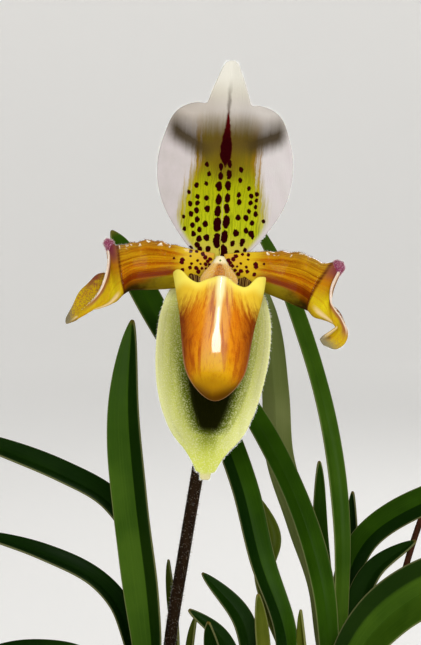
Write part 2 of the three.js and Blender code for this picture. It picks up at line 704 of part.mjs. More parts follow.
add("scape", stem(scapeCurve, SCAPE_RADIUS, 16, 10), MATERIALS.scape);
add("old_scape", stem(oldScapeCurve, OLD_SCAPE_RADIUS, 8, 7), MATERIALS.scape);
add("ovary", stalk(ovaryCurve, 12, 12, ovaryRadius), MATERIALS.ovary);
add("floral_bract", sheet(bractGrid(), () => 0.7), MATERIALS.ovary);

// Each leaf is trimmed where it would come within the gap of a piece that is already there.
let taken = toSolid(stem(scapeCurve, SCAPE_RADIUS + GAP, 16, 10));
taken = taken.add(toSolid(stem(oldScapeCurve, OLD_SCAPE_RADIUS + GAP, 8, 7)));
for (const growth of GROWTHS) {
  growth.leaves.forEach((leaf, order) => {
    const rows = leaf.route.length > 3 ? 14 : 10;
    const grid = leafGrid(growth, leaf, rows);
    const solid = mainBody(toSolid(sheet(grid, leafThickness)).subtract(taken));
    const young = leaf.route.length < 3;
    add(`leaf_${growth.name}_${order + 1}`, toGeometry(solid), young ? MATERIALS.youngLeaf : MATERIALS.leaf);
    taken = taken.add(toSolid(sheet(widened(grid, GAP), (share) => leafThickness(share) + 2 * GAP)));
  });
}

const dorsalGrid = sepalGrid(DORSAL_EDGE, 9, dorsalDepth);
const synsepalGrid = sepalGrid(SYNSEPAL_EDGE, 9, synsepalDepth);
add("dorsal_sepal", sheet(dorsalGrid, petalThickness), MATERIALS.dorsal, flower);
add("synsepal", sheet(synsepalGrid, petalThickness), MATERIALS.synsepal, flower);
add("petal_left", sheet(petalGrid(PETAL_LEFT, 22, 9), petalThickness), MATERIALS.petal, flower);
add("petal_right", sheet(petalGrid(PETAL_RIGHT, 24, 9), petalThickness), MATERIALS.petal, flower);
add("lip_pouch", pouch(), MATERIALS.lip, flower);
add("column", column(), MATERIALS.column, flower);
plant.add(flower);

export default plant;
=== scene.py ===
import math

import bpy
import numpy as np
from mathutils import Euler, Matrix, Vector, noise


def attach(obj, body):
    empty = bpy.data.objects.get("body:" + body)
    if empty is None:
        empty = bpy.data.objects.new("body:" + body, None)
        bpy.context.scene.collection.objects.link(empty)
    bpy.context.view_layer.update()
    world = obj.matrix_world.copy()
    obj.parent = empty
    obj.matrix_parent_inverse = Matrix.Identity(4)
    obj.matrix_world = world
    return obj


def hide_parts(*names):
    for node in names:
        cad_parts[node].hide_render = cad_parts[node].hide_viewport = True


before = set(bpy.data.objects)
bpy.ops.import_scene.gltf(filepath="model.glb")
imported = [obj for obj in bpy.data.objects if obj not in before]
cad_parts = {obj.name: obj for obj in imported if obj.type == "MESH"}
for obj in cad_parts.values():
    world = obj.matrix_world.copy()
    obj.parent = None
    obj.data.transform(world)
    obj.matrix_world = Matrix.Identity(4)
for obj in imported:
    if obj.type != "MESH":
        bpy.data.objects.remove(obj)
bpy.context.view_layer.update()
mm = 0.001
camera = {"place": (-14.38, -498.09, 269.49), "downwards": 4, "lens": 89.7, "sensor": 36}


def linked(name, data):
    made = bpy.data.objects.new(name, data)
    bpy.context.scene.collection.objects.link(made)
    return made


def makeCamera():
    made = bpy.data.cameras.new("viewCamera")
    made.lens = camera["lens"]
    made.sensor_width = camera["sensor"]
    holder = linked("viewCamera", made)
    holder.location = Vector(camera["place"]) * mm
    holder.rotation_euler = (math.radians(90 - camera["downwards"]), 0, 0)
    bpy.context.scene.camera = holder


makeCamera()
bpy.context.scene.view_settings.view_transform = "Standard"


def srgb(r, g, b):
    linear = [c / 255 / 12.92 if c < 11 else ((c / 255 + 0.055) / 1.055) ** 2.4 for c in (r, g, b)]
    return (*linear, 1)


# a socket in a shader tree: sums written with it add their Math nodes
class Wire:
    def __init__(self, tree, socket=None):
        self.tree = tree
        self.socket = socket

    def node(self, kind, settings=None, sockets=None, output=0):
        made = self.tree.nodes.new("ShaderNode" + kind)
        for name, value in (settings or {}).items():
            setattr(made, name, value)
        for name, value in (sockets or {}).items():
            if isinstance(value, Wire):
                self.tree.links.new(value.socket, made.inputs[name])
            else:
                made.inputs[name].default_value = value
        return Wire(self.tree, made.outputs[output])

    def math(self, operation, *values):
        return self.node("Math", {"operation": operation}, dict(enumerate(values)))

    def __add__(self, other):
        return self.math("ADD", self, other)

    def __sub__(self, other):
        return self.math("SUBTRACT", self, other)

    def __rsub__(self, other):
        return self.math("SUBTRACT", other, self)

    def __mul__(self, other):
        return self.math("MULTIPLY", self, other)

    def __truediv__(self, other):
        return self.math("DIVIDE", self, other)

    def __rtruediv__(self, other):
        return self.math("DIVIDE", other, self)

    def __pow__(self, other):
        return self.math("POWER", self, other)

    def __abs__(self):
        return self.math("ABSOLUTE", self)

    __radd__ = __add__
    __rmul__ = __mul__

    def atLeast(self, low):
        return self.math("MAXIMUM", self, low)

    def atMost(self, high):
        return self.math("MINIMUM", self, high)

    # 0 at low and 1 at high, with a soft step between them; low may be the larger
    def step(self, low, high):
        sockets = {"Value": self, "From Min": low, "From Max": high}
        return self.node("MapRange", {"interpolation_type": "SMOOTHSTEP"}, sockets)

    # 1 on a line at middle, falling to 0 at the given half width
    def line(self, middle, width):
        return 1 - abs(self - middle).step(0, width)

    def axes(self):
        return [self.node("SeparateXYZ", None, {0: self}, k) for k in range(3)]

    def point(self, x, y, z=0.0):
        return self.node("CombineXYZ", None, {0: x, 1: y, 2: z})

    def grain(self, scale, detail=3.0, roughness=0.5):
        sockets = {"Vector": self, "Scale": scale, "Detail": detail, "Roughness": roughness}
        return self.node("TexNoise", None, sockets)


# a material: its constant sockets, the piece's values that hold its tones, and the wires it starts from
class Finish:
    def __init__(self, name, tones, **constants):
        self.material = bpy.data.materials.new(name)
        self.material.use_nodes = True
        self.tree = self.material.node_tree
        self.shader = self.tree.nodes["Principled BSDF"]
        self.tones = tones
        self.start = Wire(self.tree)
        for socket, value in constants.items():
            self.shader.inputs[socket.replace("_", " ")].default_value = value

    def body(self):
        return self.start.node("TexCoord", None, None, 3)

    def sheet(self):
        return self.start.node("TexCoord", None, None, 2).axes()[:2]

    # how far a face looks backwards
    def backwards(self):
        return self.start.node("NewGeometry", None, None, 1).axes()[1]

    # millimetres in the flower's own frame
    def flower(self):
        sockets = {"Vector": self.body(), "Location": flowerPlace * mm, "Rotation": flowerTurn.to_euler()}
        sockets["Scale"] = (mm, mm, mm)
        return self.start.node("Mapping", {"vector_type": "TEXTURE"}, sockets)

    # noise drawn out by uneven scales
    def streaks(self, detail, x, y, z=0.0):
        return self.start.point(x, y, z).grain(1.0, float(detail))

    # a colour with coats painted over it in turn: each a tone's name or a wire, and how much of it
    def paint(self, under, *coats):
        for over, amount in coats:
            a, b = [srgb(*self.tones[tone]) if isinstance(tone, str) else tone for tone in (under, over)]
            under = self.start.node("Mix", {"data_type": "RGBA"}, {0: amount, 6: a, 7: b}, 2)
        return under

    def join(self, **wires):
        for socket, wire in wires.items():
            self.tree.links.new(wire.socket, self.shader.inputs[socket.replace("_", " ")])
        return self

    # the colour, the height, strength and depth in millimetres of the relief, and other varying sockets
    def done(self, colour, height, strength, depth, **wires):
        sockets = {"Height": height, "Strength": strength, "Distance": depth * mm}
        return self.join(Base_Color=colour, Normal=self.start.node("Bump", None, sockets), **wires)


def deselectAll():
    bpy.ops.object.select_all(action="DESELECT")


def only(piece):
    deselectAll()
    piece.select_set(True)
    bpy.context.view_layer.objects.active = piece


def edit(piece, *steps):
    only(piece)
    bpy.ops.object.mode_set(mode="EDIT")
    bpy.ops.mesh.select_all(action="SELECT")
    for step in steps:
        step()
    bpy.ops.object.mode_set(mode="OBJECT")


def applied(piece, kind, **settings):
    modifier = piece.modifiers.new(kind.title(), kind)
    for name, value in settings.items():
        setattr(modifier, name, value)
    only(piece)
    bpy.ops.object.modifier_apply(modifier=modifier.name)


def smoothed(piece):
    applied(piece, "SUBSURF", levels=1, render_levels=1)
    bpy.ops.object.shade_smooth()


def joined(first, others):
    only(first)
    for piece in others:
        piece.select_set(True)
    bpy.ops.object.join()


def settle(piece, slot, finish, *nodes):
    piece.data.materials.clear()
    piece.data.materials.append(finish.material)
    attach(piece, "root")
    if nodes:
        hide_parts(*nodes)


# an outline of (radius, height) in metres, spun round the upright axis
def spun(name, outline, steps, merged, *more):
    mesh = bpy.data.meshes.new(name)
    mesh.from_pydata([(r, 0, z) for r, z in outline], [(i, i + 1) for i in range(len(outline) - 1)], [])
    piece = linked(name, mesh)
    edit(
        piece,
        lambda: bpy.ops.mesh.spin(steps=steps, angle=2 * math.pi, center=(0, 0, 0), axis=(0, 0, 1)),
        lambda: bpy.ops.mesh.select_all(action="SELECT"),
        lambda: bpy.ops.mesh.remove_doubles(threshold=merged),
        *more,
    )
    return piece


# a grid primitive whose vertices move onto rows of points in millimetres; its UV map keeps the rows
def bentGrid(name, points):
    rows, columns = len(points) - 1, len(points[0]) - 1
    deselectAll()
    bpy.ops.mesh.primitive_grid_add(x_subdivisions=columns, y_subdivisions=rows, size=1)
    piece = bpy.context.active_object
    piece.name = piece.data.name = name
    for vertex in piece.data.vertices:
        column = round((vertex.co.x + 0.5) * columns)
        row = round((vertex.co.y + 0.5) * rows)
        vertex.co = points[row][column] * mm
    return piece


def bentSheet(name, points, thickness):
    piece = bentGrid(name, points)
    applied(piece, "SOLIDIFY", thickness=thickness * mm, offset=0)
    smoothed(piece)
    return piece


def lerp(a, b, share):
    return a + (b - a) * share


def smooth(x, low, high):
    share = min(max((x - low) / (high - low), 0), 1)
    return share * share * (3 - 2 * share)


def hump(x, centre, width):
    return math.exp(-(((x - centre) / width) ** 2))


# even steps from 0 to 1, and from -1 to 1
def shares(count):
    return [i / count for i in range(count + 1)]


def spans(count):
    return [2 * i / count - 1 for i in range(count + 1)]


# a smooth curve through points; share runs evenly from one point to the next
def curveAt(points, share):
    spot = share * (len(points) - 1)
    k = min(int(spot), len(points) - 2)
    w = spot - k
    b, c = Vector(points[k]), Vector(points[k + 1])
    a = Vector(points[k - 1]) if k > 0 else 2 * b - c
    d = Vector(points[k + 2]) if k + 2 < len(points) else 2 * c - b
    ab, bc, cd = [max(side.length ** 0.5, 1e-4) for side in (b - a, c - b, d - c)]
    into = ((b - a) / ab - (c - a) / (ab + bc) + (c - b) / bc) * bc
    out = ((c - b) / bc - (d - b) / (bc + cd) + (d - c) / cd) * bc
    return b + into * w + (3 * c - 3 * b - 2 * into - out) * w * w + (2 * b - 2 * c + into + out) * w**3


# values between knots, each a place with its values, on a smooth curve
def through(knots, place):
    table = np.array(knots, float)
    slopes = np.gradient(table[:, 1:], table[:, 0], axis=0)
    k = int(np.clip(np.searchsorted(table[:, 0], place) - 1, 0, len(table) - 2))
    width = table[k + 1, 0] - table[k, 0]
    w = (place - table[k, 0]) / width
    a, b = table[k, 1:], table[k + 1, 1:]
    into, out = slopes[k] * width, slopes[k + 1] * width
    return a + into * w + (3 * (b - a) - 2 * into - out) * w * w + (2 * (a - b) + into + out) * w**3


# places and directions at even steps along the curve, and its length
def evenRun(points, steps, dense=600):
    line = [curveAt(points, share) for share in shares(dense)]
    reach = [0.0]
    for a, b in zip(line, line[1:]):
        reach.append(reach[-1] + (b - a).length)
    spots = np.interp(np.linspace(0, reach[-1], steps + 1), reach, np.arange(dense + 1)) / dense
    places = [curveAt(points, s) for s in spots]
    before = [curveAt(points, max(s - 1e-3, 0)) for s in spots]
    after = [curveAt(points, min(s + 1e-3, 1)) for s in spots]
    return places, [(b - a).normalized() for a, b in zip(before, after)], reach[-1]


# smooth rings round a run, closed and capped; radiusAt(share, angle) is in millimetres
def tube(name, points, steps, sides, radiusAt):
    places, ways, _ = evenRun(points, steps)
    side = ways[0].orthogonal().normalized()
    rows = []
    for share, place, way in zip(shares(steps), places, ways):
        side = (side - way * side.dot(way)).normalized()
        other = way.cross(side)
        angles = [2 * math.pi * j / sides for j in range(sides + 1)]
        ring = [(radiusAt(share, a), math.cos(a), math.sin(a)) for a in angles]
        rows.append([place + side * (r * c) + other * (r * s) for r, c, s in ring])
    piece = bentGrid(name, rows)
    edit(piece, lambda: bpy.ops.mesh.remove_doubles(threshold=0.01 * mm), bpy.ops.mesh.fill_holes)
    edit(piece, bpy.ops.mesh.normals_make_consistent)
    smoothed(piece)
    return piece


# one slim cone on each root; a hair's length and radius are in millimetres
def makeHairs(name, slot, finish, hair, seed, roots, ways):
    deselectAll()
    bpy.ops.mesh.primitive_cone_add(vertices=3, radius1=1, depth=1, location=(0, 0, 0.5))
    pattern = bpy.context.active_object
    shape = np.array([(pattern.matrix_world @ v.co)[:] for v in pattern.data.vertices])
    faces = [list(f.vertices) for f in pattern.data.polygons]
    bpy.data.objects.remove(pattern)
    random = np.random.default_rng(seed)
    roots, ways = np.array(roots, float), np.array(ways, float)
    ways = ways + random.normal(0, hair["spread"], ways.shape)
    ways /= np.linalg.norm(ways, axis=1, keepdims=True)
    sides = np.cross(ways, random.normal(0, 1, ways.shape))
    sides /= np.linalg.norm(sides, axis=1, keepdims=True)
    others = np.cross(ways, sides)
    lengths = hair["length"] * random.uniform(0.6, 1.25, len(roots))[:, None, None]
    roots = roots - ways * 0.12  # sunk in a little
    points = roots[:, None] + (
        shape[None, :, :1] * sides[:, None] * hair["radius"]
        + shape[None, :, 1:2] * others[:, None] * hair["radius"]
        + shape[None, :, 2:] * ways[:, None] * lengths
    )
    copies = [[i * len(shape) + k for k in face] for i in range(len(roots)) for face in faces]
    mesh = bpy.data.meshes.new(name)
    mesh.from_pydata((points.reshape(-1, 3) * mm).tolist(), [], copies)
    settle(linked(name, mesh), slot, finish)


# hairs spread evenly over a piece's faces; keep(point, normal) chooses among their roots
def growOver(piece, name, slot, finish, hair, count, seed, keep=None):
    random = np.random.default_rng(seed)
    mesh = piece.data
    mesh.calc_loop_triangles()
    corners = np.array([[mesh.vertices[k].co[:] for k in t.vertices] for t in mesh.loop_triangles]) / mm
    cross = np.cross(corners[:, 1] - corners[:, 0], corners[:, 2] - corners[:, 0])
    area = np.linalg.norm(cross, axis=1)
    picks = random.choice(len(area), count, p=area / area.sum())
    a, b = random.random(count), random.random(count)
    over = a + b > 1
    a[over], b[over] = 1 - a[over], 1 - b[over]
    first = corners[picks, 0]
    points = first + (corners[picks, 1] - first) * a[:, None] + (corners[picks, 2] - first) * b[:, None]
    normals = cross[picks] / area[picks][:, None]
    if keep:
        kept = [keep(Vector(p), Vector(n)) for p, n in zip(points, normals)]
        points, normals = points[kept], normals[kept]
    makeHairs(name, slot, finish, hair, seed + 1, points, normals)


# hairs that point away from the edges of a sheet's rows; an edge is its first or last column,
# the number of hairs, and the shares of the rows where they start and end
def growAlong(rows, name, slot, finish, hair, seed, *edges):
    roots, ways = [], []
    for column, count, low, high in edges:
        inner = 1 if column == 0 else -2
        for share in low + np.random.default_rng(seed).random(count) * (high - low):
            spot = share * (len(rows) - 1)
            k = min(int(spot), len(rows) - 2)
            edge = rows[k][column].lerp(rows[k + 1][column], spot - k)
            inside = rows[k][inner].lerp(rows[k + 1][inner], spot - k)
            roots.append(edge[:])
            ways.append((edge - inside).normalized()[:])
        seed += 1
    makeHairs(name, slot, finish, hair, seed, roots, ways)


def hairFinish(name, tone):
    made = Finish(name, {}, Roughness=0.5, Subsurface_Weight=0.2, Subsurface_Scale=0.0005)
    sheen = (0.9, 0.88, 0.82, 1)
    return made.join(Base_Color=made.paint(tone, (sheen, made.body().grain(900.0, 1.0) * 0.4)))


studio = {
    "floorRadius": 2.3, "curve": 0.7, "wall": 2.6, "ambient": 0.24, "glow": 0.26,
    "sky": (0.86, 0.88, 0.9, 1), "pale": (0.8, 0.79, 0.77, 1), "warm": (1, 0.99, 0.97, 1),
    "aim": (-0.012, -0.048, 0.235),
}
lamps = {
    "keyLight": {"place": (0.24, -0.72, 0.86), "size": (0.3, 0.24), "watts": 2.9},
    "frontLight": {"place": (-0.012, -0.66, 0.354), "size": (0.3, 0.36), "watts": 2.1},
    "backLight": {"place": (0.45, 0.9, 0.95), "size": (0.5, 0.5), "watts": 4},
}


def makeLamp(name, lamp):
    made = bpy.data.lights.new(name, "AREA")
    made.shape = "RECTANGLE"
    made.size, made.size_y = lamp["size"]
    made.energy = lamp["watts"]
    holder = linked(name, made)
    holder.location = lamp["place"]
    aim = Vector(studio["aim"]) - Vector(lamp["place"])
    holder.rotation_euler = aim.to_track_quat("-Z", "Y").to_euler()
    holder.visible_camera = False


def makeStudio():
    world = bpy.data.worlds.new("studioWorld")
    bpy.context.scene.world = world
    world.use_nodes = True
    sky = world.node_tree.nodes["Background"]
    sky.inputs["Color"].default_value = studio["sky"]
    sky.inputs["Strength"].default_value = studio["ambient"]
    flat, curve = studio["floorRadius"], studio["curve"]
    outline = [(0, 0), (flat, 0)]
    for k in range(1, 13):
        angle = math.radians(90 * k / 12)
        outline.append((flat + curve * math.sin(angle), curve * (1 - math.cos(angle))))
    outline.append((flat + curve, studio["wall"]))
    floor = spun("studioFloor", outline, 96, 0.0001)
    only(floor)
    bpy.ops.object.shade_smooth()
    glow = {"Emission_Color": studio["warm"], "Emission_Strength": studio["glow"]}
    pale = Finish("studioPale", studio, Roughness=0.9, Base_Color=studio["pale"], **glow)
    floor.data.materials.append(pale.material)


for lampName, lamp in lamps.items():
    makeLamp(lampName, lamp)
makeStudio()
print("studio ready")

pot = {
    "outside": [
        (0, 0), (44.5, 0), (46, 1.5), (62.5, 84), (65, 85), (66, 87), (66, 103.5), (64.5, 105), (61.5, 105),
        (60.5, 103.5), (60, 85), (42.5, 8), (39.5, 6), (0, 6),
    ],
    "sides": 128,
    "drain": {"holes": 3, "radius": 5, "ring": 19},
    "softEdge": 0.9,
    "clay": (186, 106, 68),
    "light": (214, 152, 112),
    "damp": (128, 64, 40),
    "bloom": (214, 198, 180),
}


def clayFinish():
    made = Finish("clayFinish", pot, Roughness=0.85)
    body = made.body()
    z = body.axes()[2]
    cloud = body.grain(22.0, 5.0, 0.6)
    speck = body.grain(700.0, 2.0)
    rings = made.streaks(2, z * 900, body.grain(9.0) * 3)
    bloom = body.grain(60.0, 4.0).step(0.52, 0.68) * (z + (cloud - 0.5) * 0.06).step(0.055, 0.1)
    colour = made.paint(
        "clay",
        ("light", cloud.step(0.4, 0.7) * 0.55),
        ("damp", (z + (cloud - 0.5) * 0.05).step(0.028, 0.004) * 0.55),
        ("bloom", bloom * 0.4),
        ("damp", speck.step(0.62, 0.7) * 0.5),
    )
    relief = rings * 0.6 + speck * 0.5 + cloud * 0.4
    return made.done(colour, relief, 0.35, 0.4, Roughness=0.8 + 0.15 * cloud)


def makePot():
    outline = [(r * mm, z * mm) for r, z in pot["outside"]]
    piece = spun("clayPot", outline, pot["sides"], 0.01 * mm, bpy.ops.mesh.normals_make_consistent)
    drain = pot["drain"]
    for i in range(drain["holes"]):
        angle = 2 * math.pi * i / drain["holes"] + math.pi / 2
        place = (drain["ring"] * math.cos(angle) * mm, drain["ring"] * math.sin(angle) * mm, 0)
        size = {"vertices": 32, "radius": drain["radius"] * mm, "depth": 0.03}
        deselectAll()
        bpy.ops.mesh.primitive_cylinder_add(location=place, **size)
        hole = bpy.context.active_object
        applied(piece, "BOOLEAN", object=hole, operation="DIFFERENCE", solver="EXACT")
        bpy.data.objects.remove(hole)
    soft = {"width": pot["softEdge"] * mm, "segments": 3, "angle_limit": math.radians(25)}
    applied(piece, "BEVEL", limit_method="ANGLE", **soft)
    only(piece)
    bpy.ops.object.shade_smooth_by_angle(angle=math.radians(32))
    settle(piece, "clay", clayFinish(), "pot")


bark = {
    "radius": 59.2,
    "footRadius": 41.5,
    "bottom": 6.4,
    "top": 94,
    "chips": 300,
    "kinds": 7,
    "length": 14,
    "seed": 7,
    "brown": (92, 58, 36),
    "dark": (44, 28, 20),
    "red": (126, 74, 42),
}


def barkFinish():
    made = Finish("barkFinish", bark, Roughness=0.9)
    body = made.body()
    x, y, z = body.axes()
    patch = body.grain(90.0, 3.0)
    layers = made.start.point(x * 420, y * 420, z * 1500).grain(1.0, 4.0, 0.65)
    colour = made.paint(
        "brown",
        ("red", patch.step(0.48, 0.6) * 0.8),
        ("dark", layers.step(0.45, 0.65) * 0.8),
        ("dark", z.step(0.094, 0.09) * 0.8),
    )
    return made.done(colour, layers + patch * 0.4, 0.8, 0.8)


# a rough chip one unit across
def makeChip(seed):
    deselectAll()
    bpy.ops.mesh.primitive_cube_add(size=1)
    chip = bpy.context.active_object
    edit(
        chip,
        lambda: bpy.ops.mesh.subdivide(number_cuts=2),
        lambda: bpy.ops.transform.vertex_random(offset=0.13, seed=seed),
    )
    applied(chip, "BEVEL", width=0.06, segments=1, limit_method="ANGLE", angle_limit=math.radians(45))
    return chip


def makeBark():
    deselectAll()
    middle = (bark["bottom"] + bark["top"]) / 2 * mm
    size = {"radius1": bark["footRadius"] * mm, "radius2": bark["radius"] * mm}
    size["depth"] = (bark["top"] - bark["bottom"]) * mm
    bpy.ops.mesh.primitive_cone_add(vertices=72, location=(0, 0, middle), **size)
    bed = bpy.context.active_object
    bpy.ops.object.transform_apply(location=True)
    random = np.random.default_rng(bark["seed"])
    kinds = [makeChip(k + 3) for k in range(bark["kinds"])]
    chips = []
    for i in range(bark["chips"]):
        reach = math.sqrt((i + 0.5) / bark["chips"]) * (bark["radius"] - 6.5)
        angle = i * math.radians(137.5)
        size = np.array([random.uniform(0.65, 1.15), random.uniform(0.4, 0.7), random.uniform(0.22, 0.4)])
        height = bark["top"] + random.uniform(-0.5, 3)
        spot = Vector((reach * math.cos(angle), reach * math.sin(angle), height))
        turn = Euler((random.uniform(-0.5, 0.5), random.uniform(-0.45, 0.45), random.uniform(0, math.pi)))
        scale = Matrix.Diagonal((*(size * bark["length"] * mm), 1))
        chip = linked("chip", kinds[i % bark["kinds"]].data.copy())
        chip.data.transform(Matrix.Translation(spot * mm) @ turn.to_matrix().to_4x4() @ scale)
        chips.append(chip)
    for kind in kinds:
        bpy.data.objects.remove(kind)
    joined(bed, chips)
    bed.name = bed.data.name = "barkChips"
    bpy.ops.object.shade_smooth_by_angle(angle=math.radians(35))
    settle(bed, "bark", barkFinish(), "bark_mix")


makePot()
makeBark()
print("pot and bark ready")

leaves = {
    "rows": 64,
    "columns": 12,
    "thickness": 0.8,
    # the feet of a growth's leaves clasp each other: the innermost one's radius, and the step to the next
    "clasp": 2.8,
    "pitch": 1.1,
    "bottom": 89,
    "barkTop": 95,
    "footHalfWidth": 6,
    "opening": 16,
    "fold": {"usual": 28, "leaf_front_left_2": 32},
    # how far along the blade begins to narrow
    "taperStart": {"usual": 0.66, "leaf_middle_4": 0.92},
    # one side painted darker as shade: which side, where across the blade it starts, and how far up it goes
    "paintedShadeSide": {
        "usual": (0, 0, 0),
        "leaf_front_left_2": (1, 0.5, 1),
        "leaf_front_right_2": (-1, 0.22, 1),
        "leaf_middle_4": (-1, 0.5, 0.8),
        "leaf_right_4": (1, 0.5, 1),
    },
    "bright": (41, 68, 8), "brightLight": (66, 94, 21),
    "fresh": (29, 55, 2), "freshLight": (47, 79, 7),
    "deep": (10, 31, 2), "deepLight": (23, 47, 5),
    "young": (56, 68, 12), "youngLight": (98, 104, 30),
    "under": (92, 102, 52), "underLight": (116, 122, 74),
    # the painted shade on one side of some blades
    "dark": (3, 24, 2),
    "margin": (150, 148, 100),
    "foot": (150, 146, 84),
    "tip": (120, 96, 40),
}
# a growth: its name, its place, the radius kept free in its middle, and its leaves from the lowest up;
# a leaf: its tone, its side, its half width, where its blade faces, and its route above the sheath
growths = [
    ("front_left", (-34, -16), 0.3, [
        ("deep", -1, 6, (0.3, -0.3, 1),
         [(-42, -16, 119), (-52, -17, 131), (-70, -21, 135), (-96, -24, 131)]),
        ("bright", 1, 7.5, (-0.47, -0.88, 0),
         [(-32, -12, 130), (-34, -13, 155), (-37, -16, 182), (-39, -18, 210), (-37.8, -17, 236.8)]),
    ]),
    ("left", (-29, 3), 1.7, [
        ("deep", 1, 3.6, (-0.3, -1, 0.2), [(-18, -2, 114), (-13, -18, 131), (-15, -34, 149)]),
        ("deep", -1, 4.8, (0.25, -0.5, 0.87),
         [(-40, 2, 134), (-44, 4, 144), (-52, 6, 152), (-68, 6, 160), (-90, 0, 169)]),
        ("young", 1, 3, (-0.8, -0.5, 0.2), [(-21, 2, 125), (-19, -3, 143)]),
        ("deep", -1, 5.6, (0.25, -0.6, 0.78),
         [(-37, 2, 150), (-39, 3, 167), (-47, 4, 177.5), (-62, 2, 186.5), (-100, -7, 203.5)]),
        ("young", 1, 3, (-0.8, -0.6, 0.1), [(-25, 5, 135), (-28, 10, 158)]),
    ]),
    ("middle", (5, -15), 0.3, [
        ("deep", -1, 3.4, (0.3, -0.9, 0.5), [(-5, -18, 120), (-11, -20, 140), (-21, -19, 149)]),
        ("young", 1, 3.9, (0.3, -1, 0.1),
         [(11, -10, 128), (4, -4, 148), (2, -2, 158), (5, 0, 167), (1, 3, 179)]),
        ("deep", -1, 4.2, (0.4, -1, 0.3), [(-2, -13, 127), (-5, -12, 144), (-17, -9, 158)]),
        ("fresh", 1, 5.2, (0.4, -0.9, 0.1),
         [(9, -14, 138), (1, -8, 161), (-5, 3, 184), (-14, 15, 205), (-29.5, 23, 230), (-38.2, 21, 246),
          (-46, 14, 263.2)]),
        ("young", -1, 3, (0.2, -1, 0), [(2, -17, 130), (0, -20, 154)]),
    ]),
    ("front_right", (21, -21), 0.3, [
        ("young", -1, 2.8, (-0.8, -0.6, 0.2), [(15, -19, 124), (13, -15, 148)]),
        ("bright", 1, 9.6, (-0.48, -0.8, 0.36),
         [(26, -20, 120), (30, -21, 135), (40, -28, 150), (56, -41, 163), (84, -55, 172)]),
    ]),
    ("right", (29, -4), 0.3, [
        ("fresh", -1, 4.3, (0.2, -1, 0.1),
         [(22, -8, 134), (20, -6, 154), (14, 2, 175), (4, 12, 196), (-10, 22, 218), (-21, 28, 236)]),
        ("deep", 1, 5.2, (-0.3, -0.65, 0.75), [(35, -3, 130), (33, -3, 146), (37, -5, 157), (49, -9, 168)]),
        ("bright", -1, 3.2, (0.3, -1, 0),
         [(26, -5, 143), (26, -4, 172), (22.6, 5, 202), (15, 18, 231), (4.8, 36, 257), (-6.6, 44, 275)]),
        ("fresh", 1, 5.4, (-0.25, -0.87, 0.43),
         [(31, 1, 130), (29, 8, 149), (35, 8, 164), (53, -3, 179), (82, -22, 190)]),
    ]),
    ("back", (27, 27), 0.3, [
        ("under", -1, 5.4, (0.2, 1, 0.1),
         [(22, 22, 143), (15, 23, 166), (8, 25, 188), (6.6, 27, 210), (4, 30, 234), (-4, 33, 256)]),
        ("deep", 1, 3.4, (-0.5, -0.8, 0), [(32, 28, 135), (33, 32, 155), (33, 33, 176)]),
        ("fresh", -1, 3.3, (0.3, -1, 0), [(24, 30, 135), (22, 34, 162), (22, 34, 186)]),
    ]),
]


# a leaf's own value, or the usual one
def own(value, words):
    return leaves[value].get(words, leaves[value]["usual"])


def leafTaper(share, start):
    end = max((share - start) / (1 - start), 0)
    return max(max(1 - end**1.9, 0) ** 0.62, 0.06)


def leafRows(words, place, core, order, count, leaf):
    _, side, halfWidth, face, route = leaf
    clasp = leaves["clasp"] + (count - 1 - order) * leaves["pitch"]
    foot = (place[0] + side * (clasp + core), place[1])
    top = leaves["barkTop"] + 5 + 3.2 * order
    low = leaves["bottom"]
    spine = [(*foot, low), (*foot, (low + top) / 2), (*foot, top), *route]
    places, ways, length = evenRun(spine, leaves["rows"])
    closed = (top - low) / length
    opened = closed + leaves["opening"] / length
    rows = []
    for share, spot, way in zip(shares(leaves["rows"]), places, ways):
        opening = smooth(share, closed * 0.8, opened)
        swung = smooth(share, closed, min(opened + 0.15, 0.95))
        facing = Vector((-side, 0, 0)).lerp(Vector(face), swung)
        facing = (facing - way * facing.dot(way)).normalized()
        across = way.cross(facing)
        bend = lerp(math.radians(86), math.radians(own("fold", words)), opening)
        radius = lerp(clasp, 0.5, opening)
        blade = halfWidth * lerp(0.72, 1, smooth(share, opened, opened + 0.3))
        width = lerp(leaves["footHalfWidth"], blade, opening) * leafTaper(share, own("taperStart", words))
        # the blade is never quite even
        drift = noise.noise(spot * 0.035 + Vector((halfWidth, side, order)))
        width *= 1 + 0.05 * drift * opening
        row = []
        for c in spans(leaves["columns"]):
            c = math.copysign(abs(c) ** 1.35, c)  # closer together at the midrib, which is a sharp fold
            run = abs(c) * width
            turn = min(run / radius, bend)
            rest = max(run - radius * bend, 0)
            sideways = radius * math.sin(turn) + rest * math.cos(bend)
            inwards = radius * (1 - math.cos(turn)) + rest * math.sin(bend)
            inwards -= 0.35 * opening * math.sin(math.pi * abs(c)) * (0.5 + drift)
            row.append(spot + across * math.copysign(sideways, c) + facing * inwards)
        rows.append(row)
    return rows


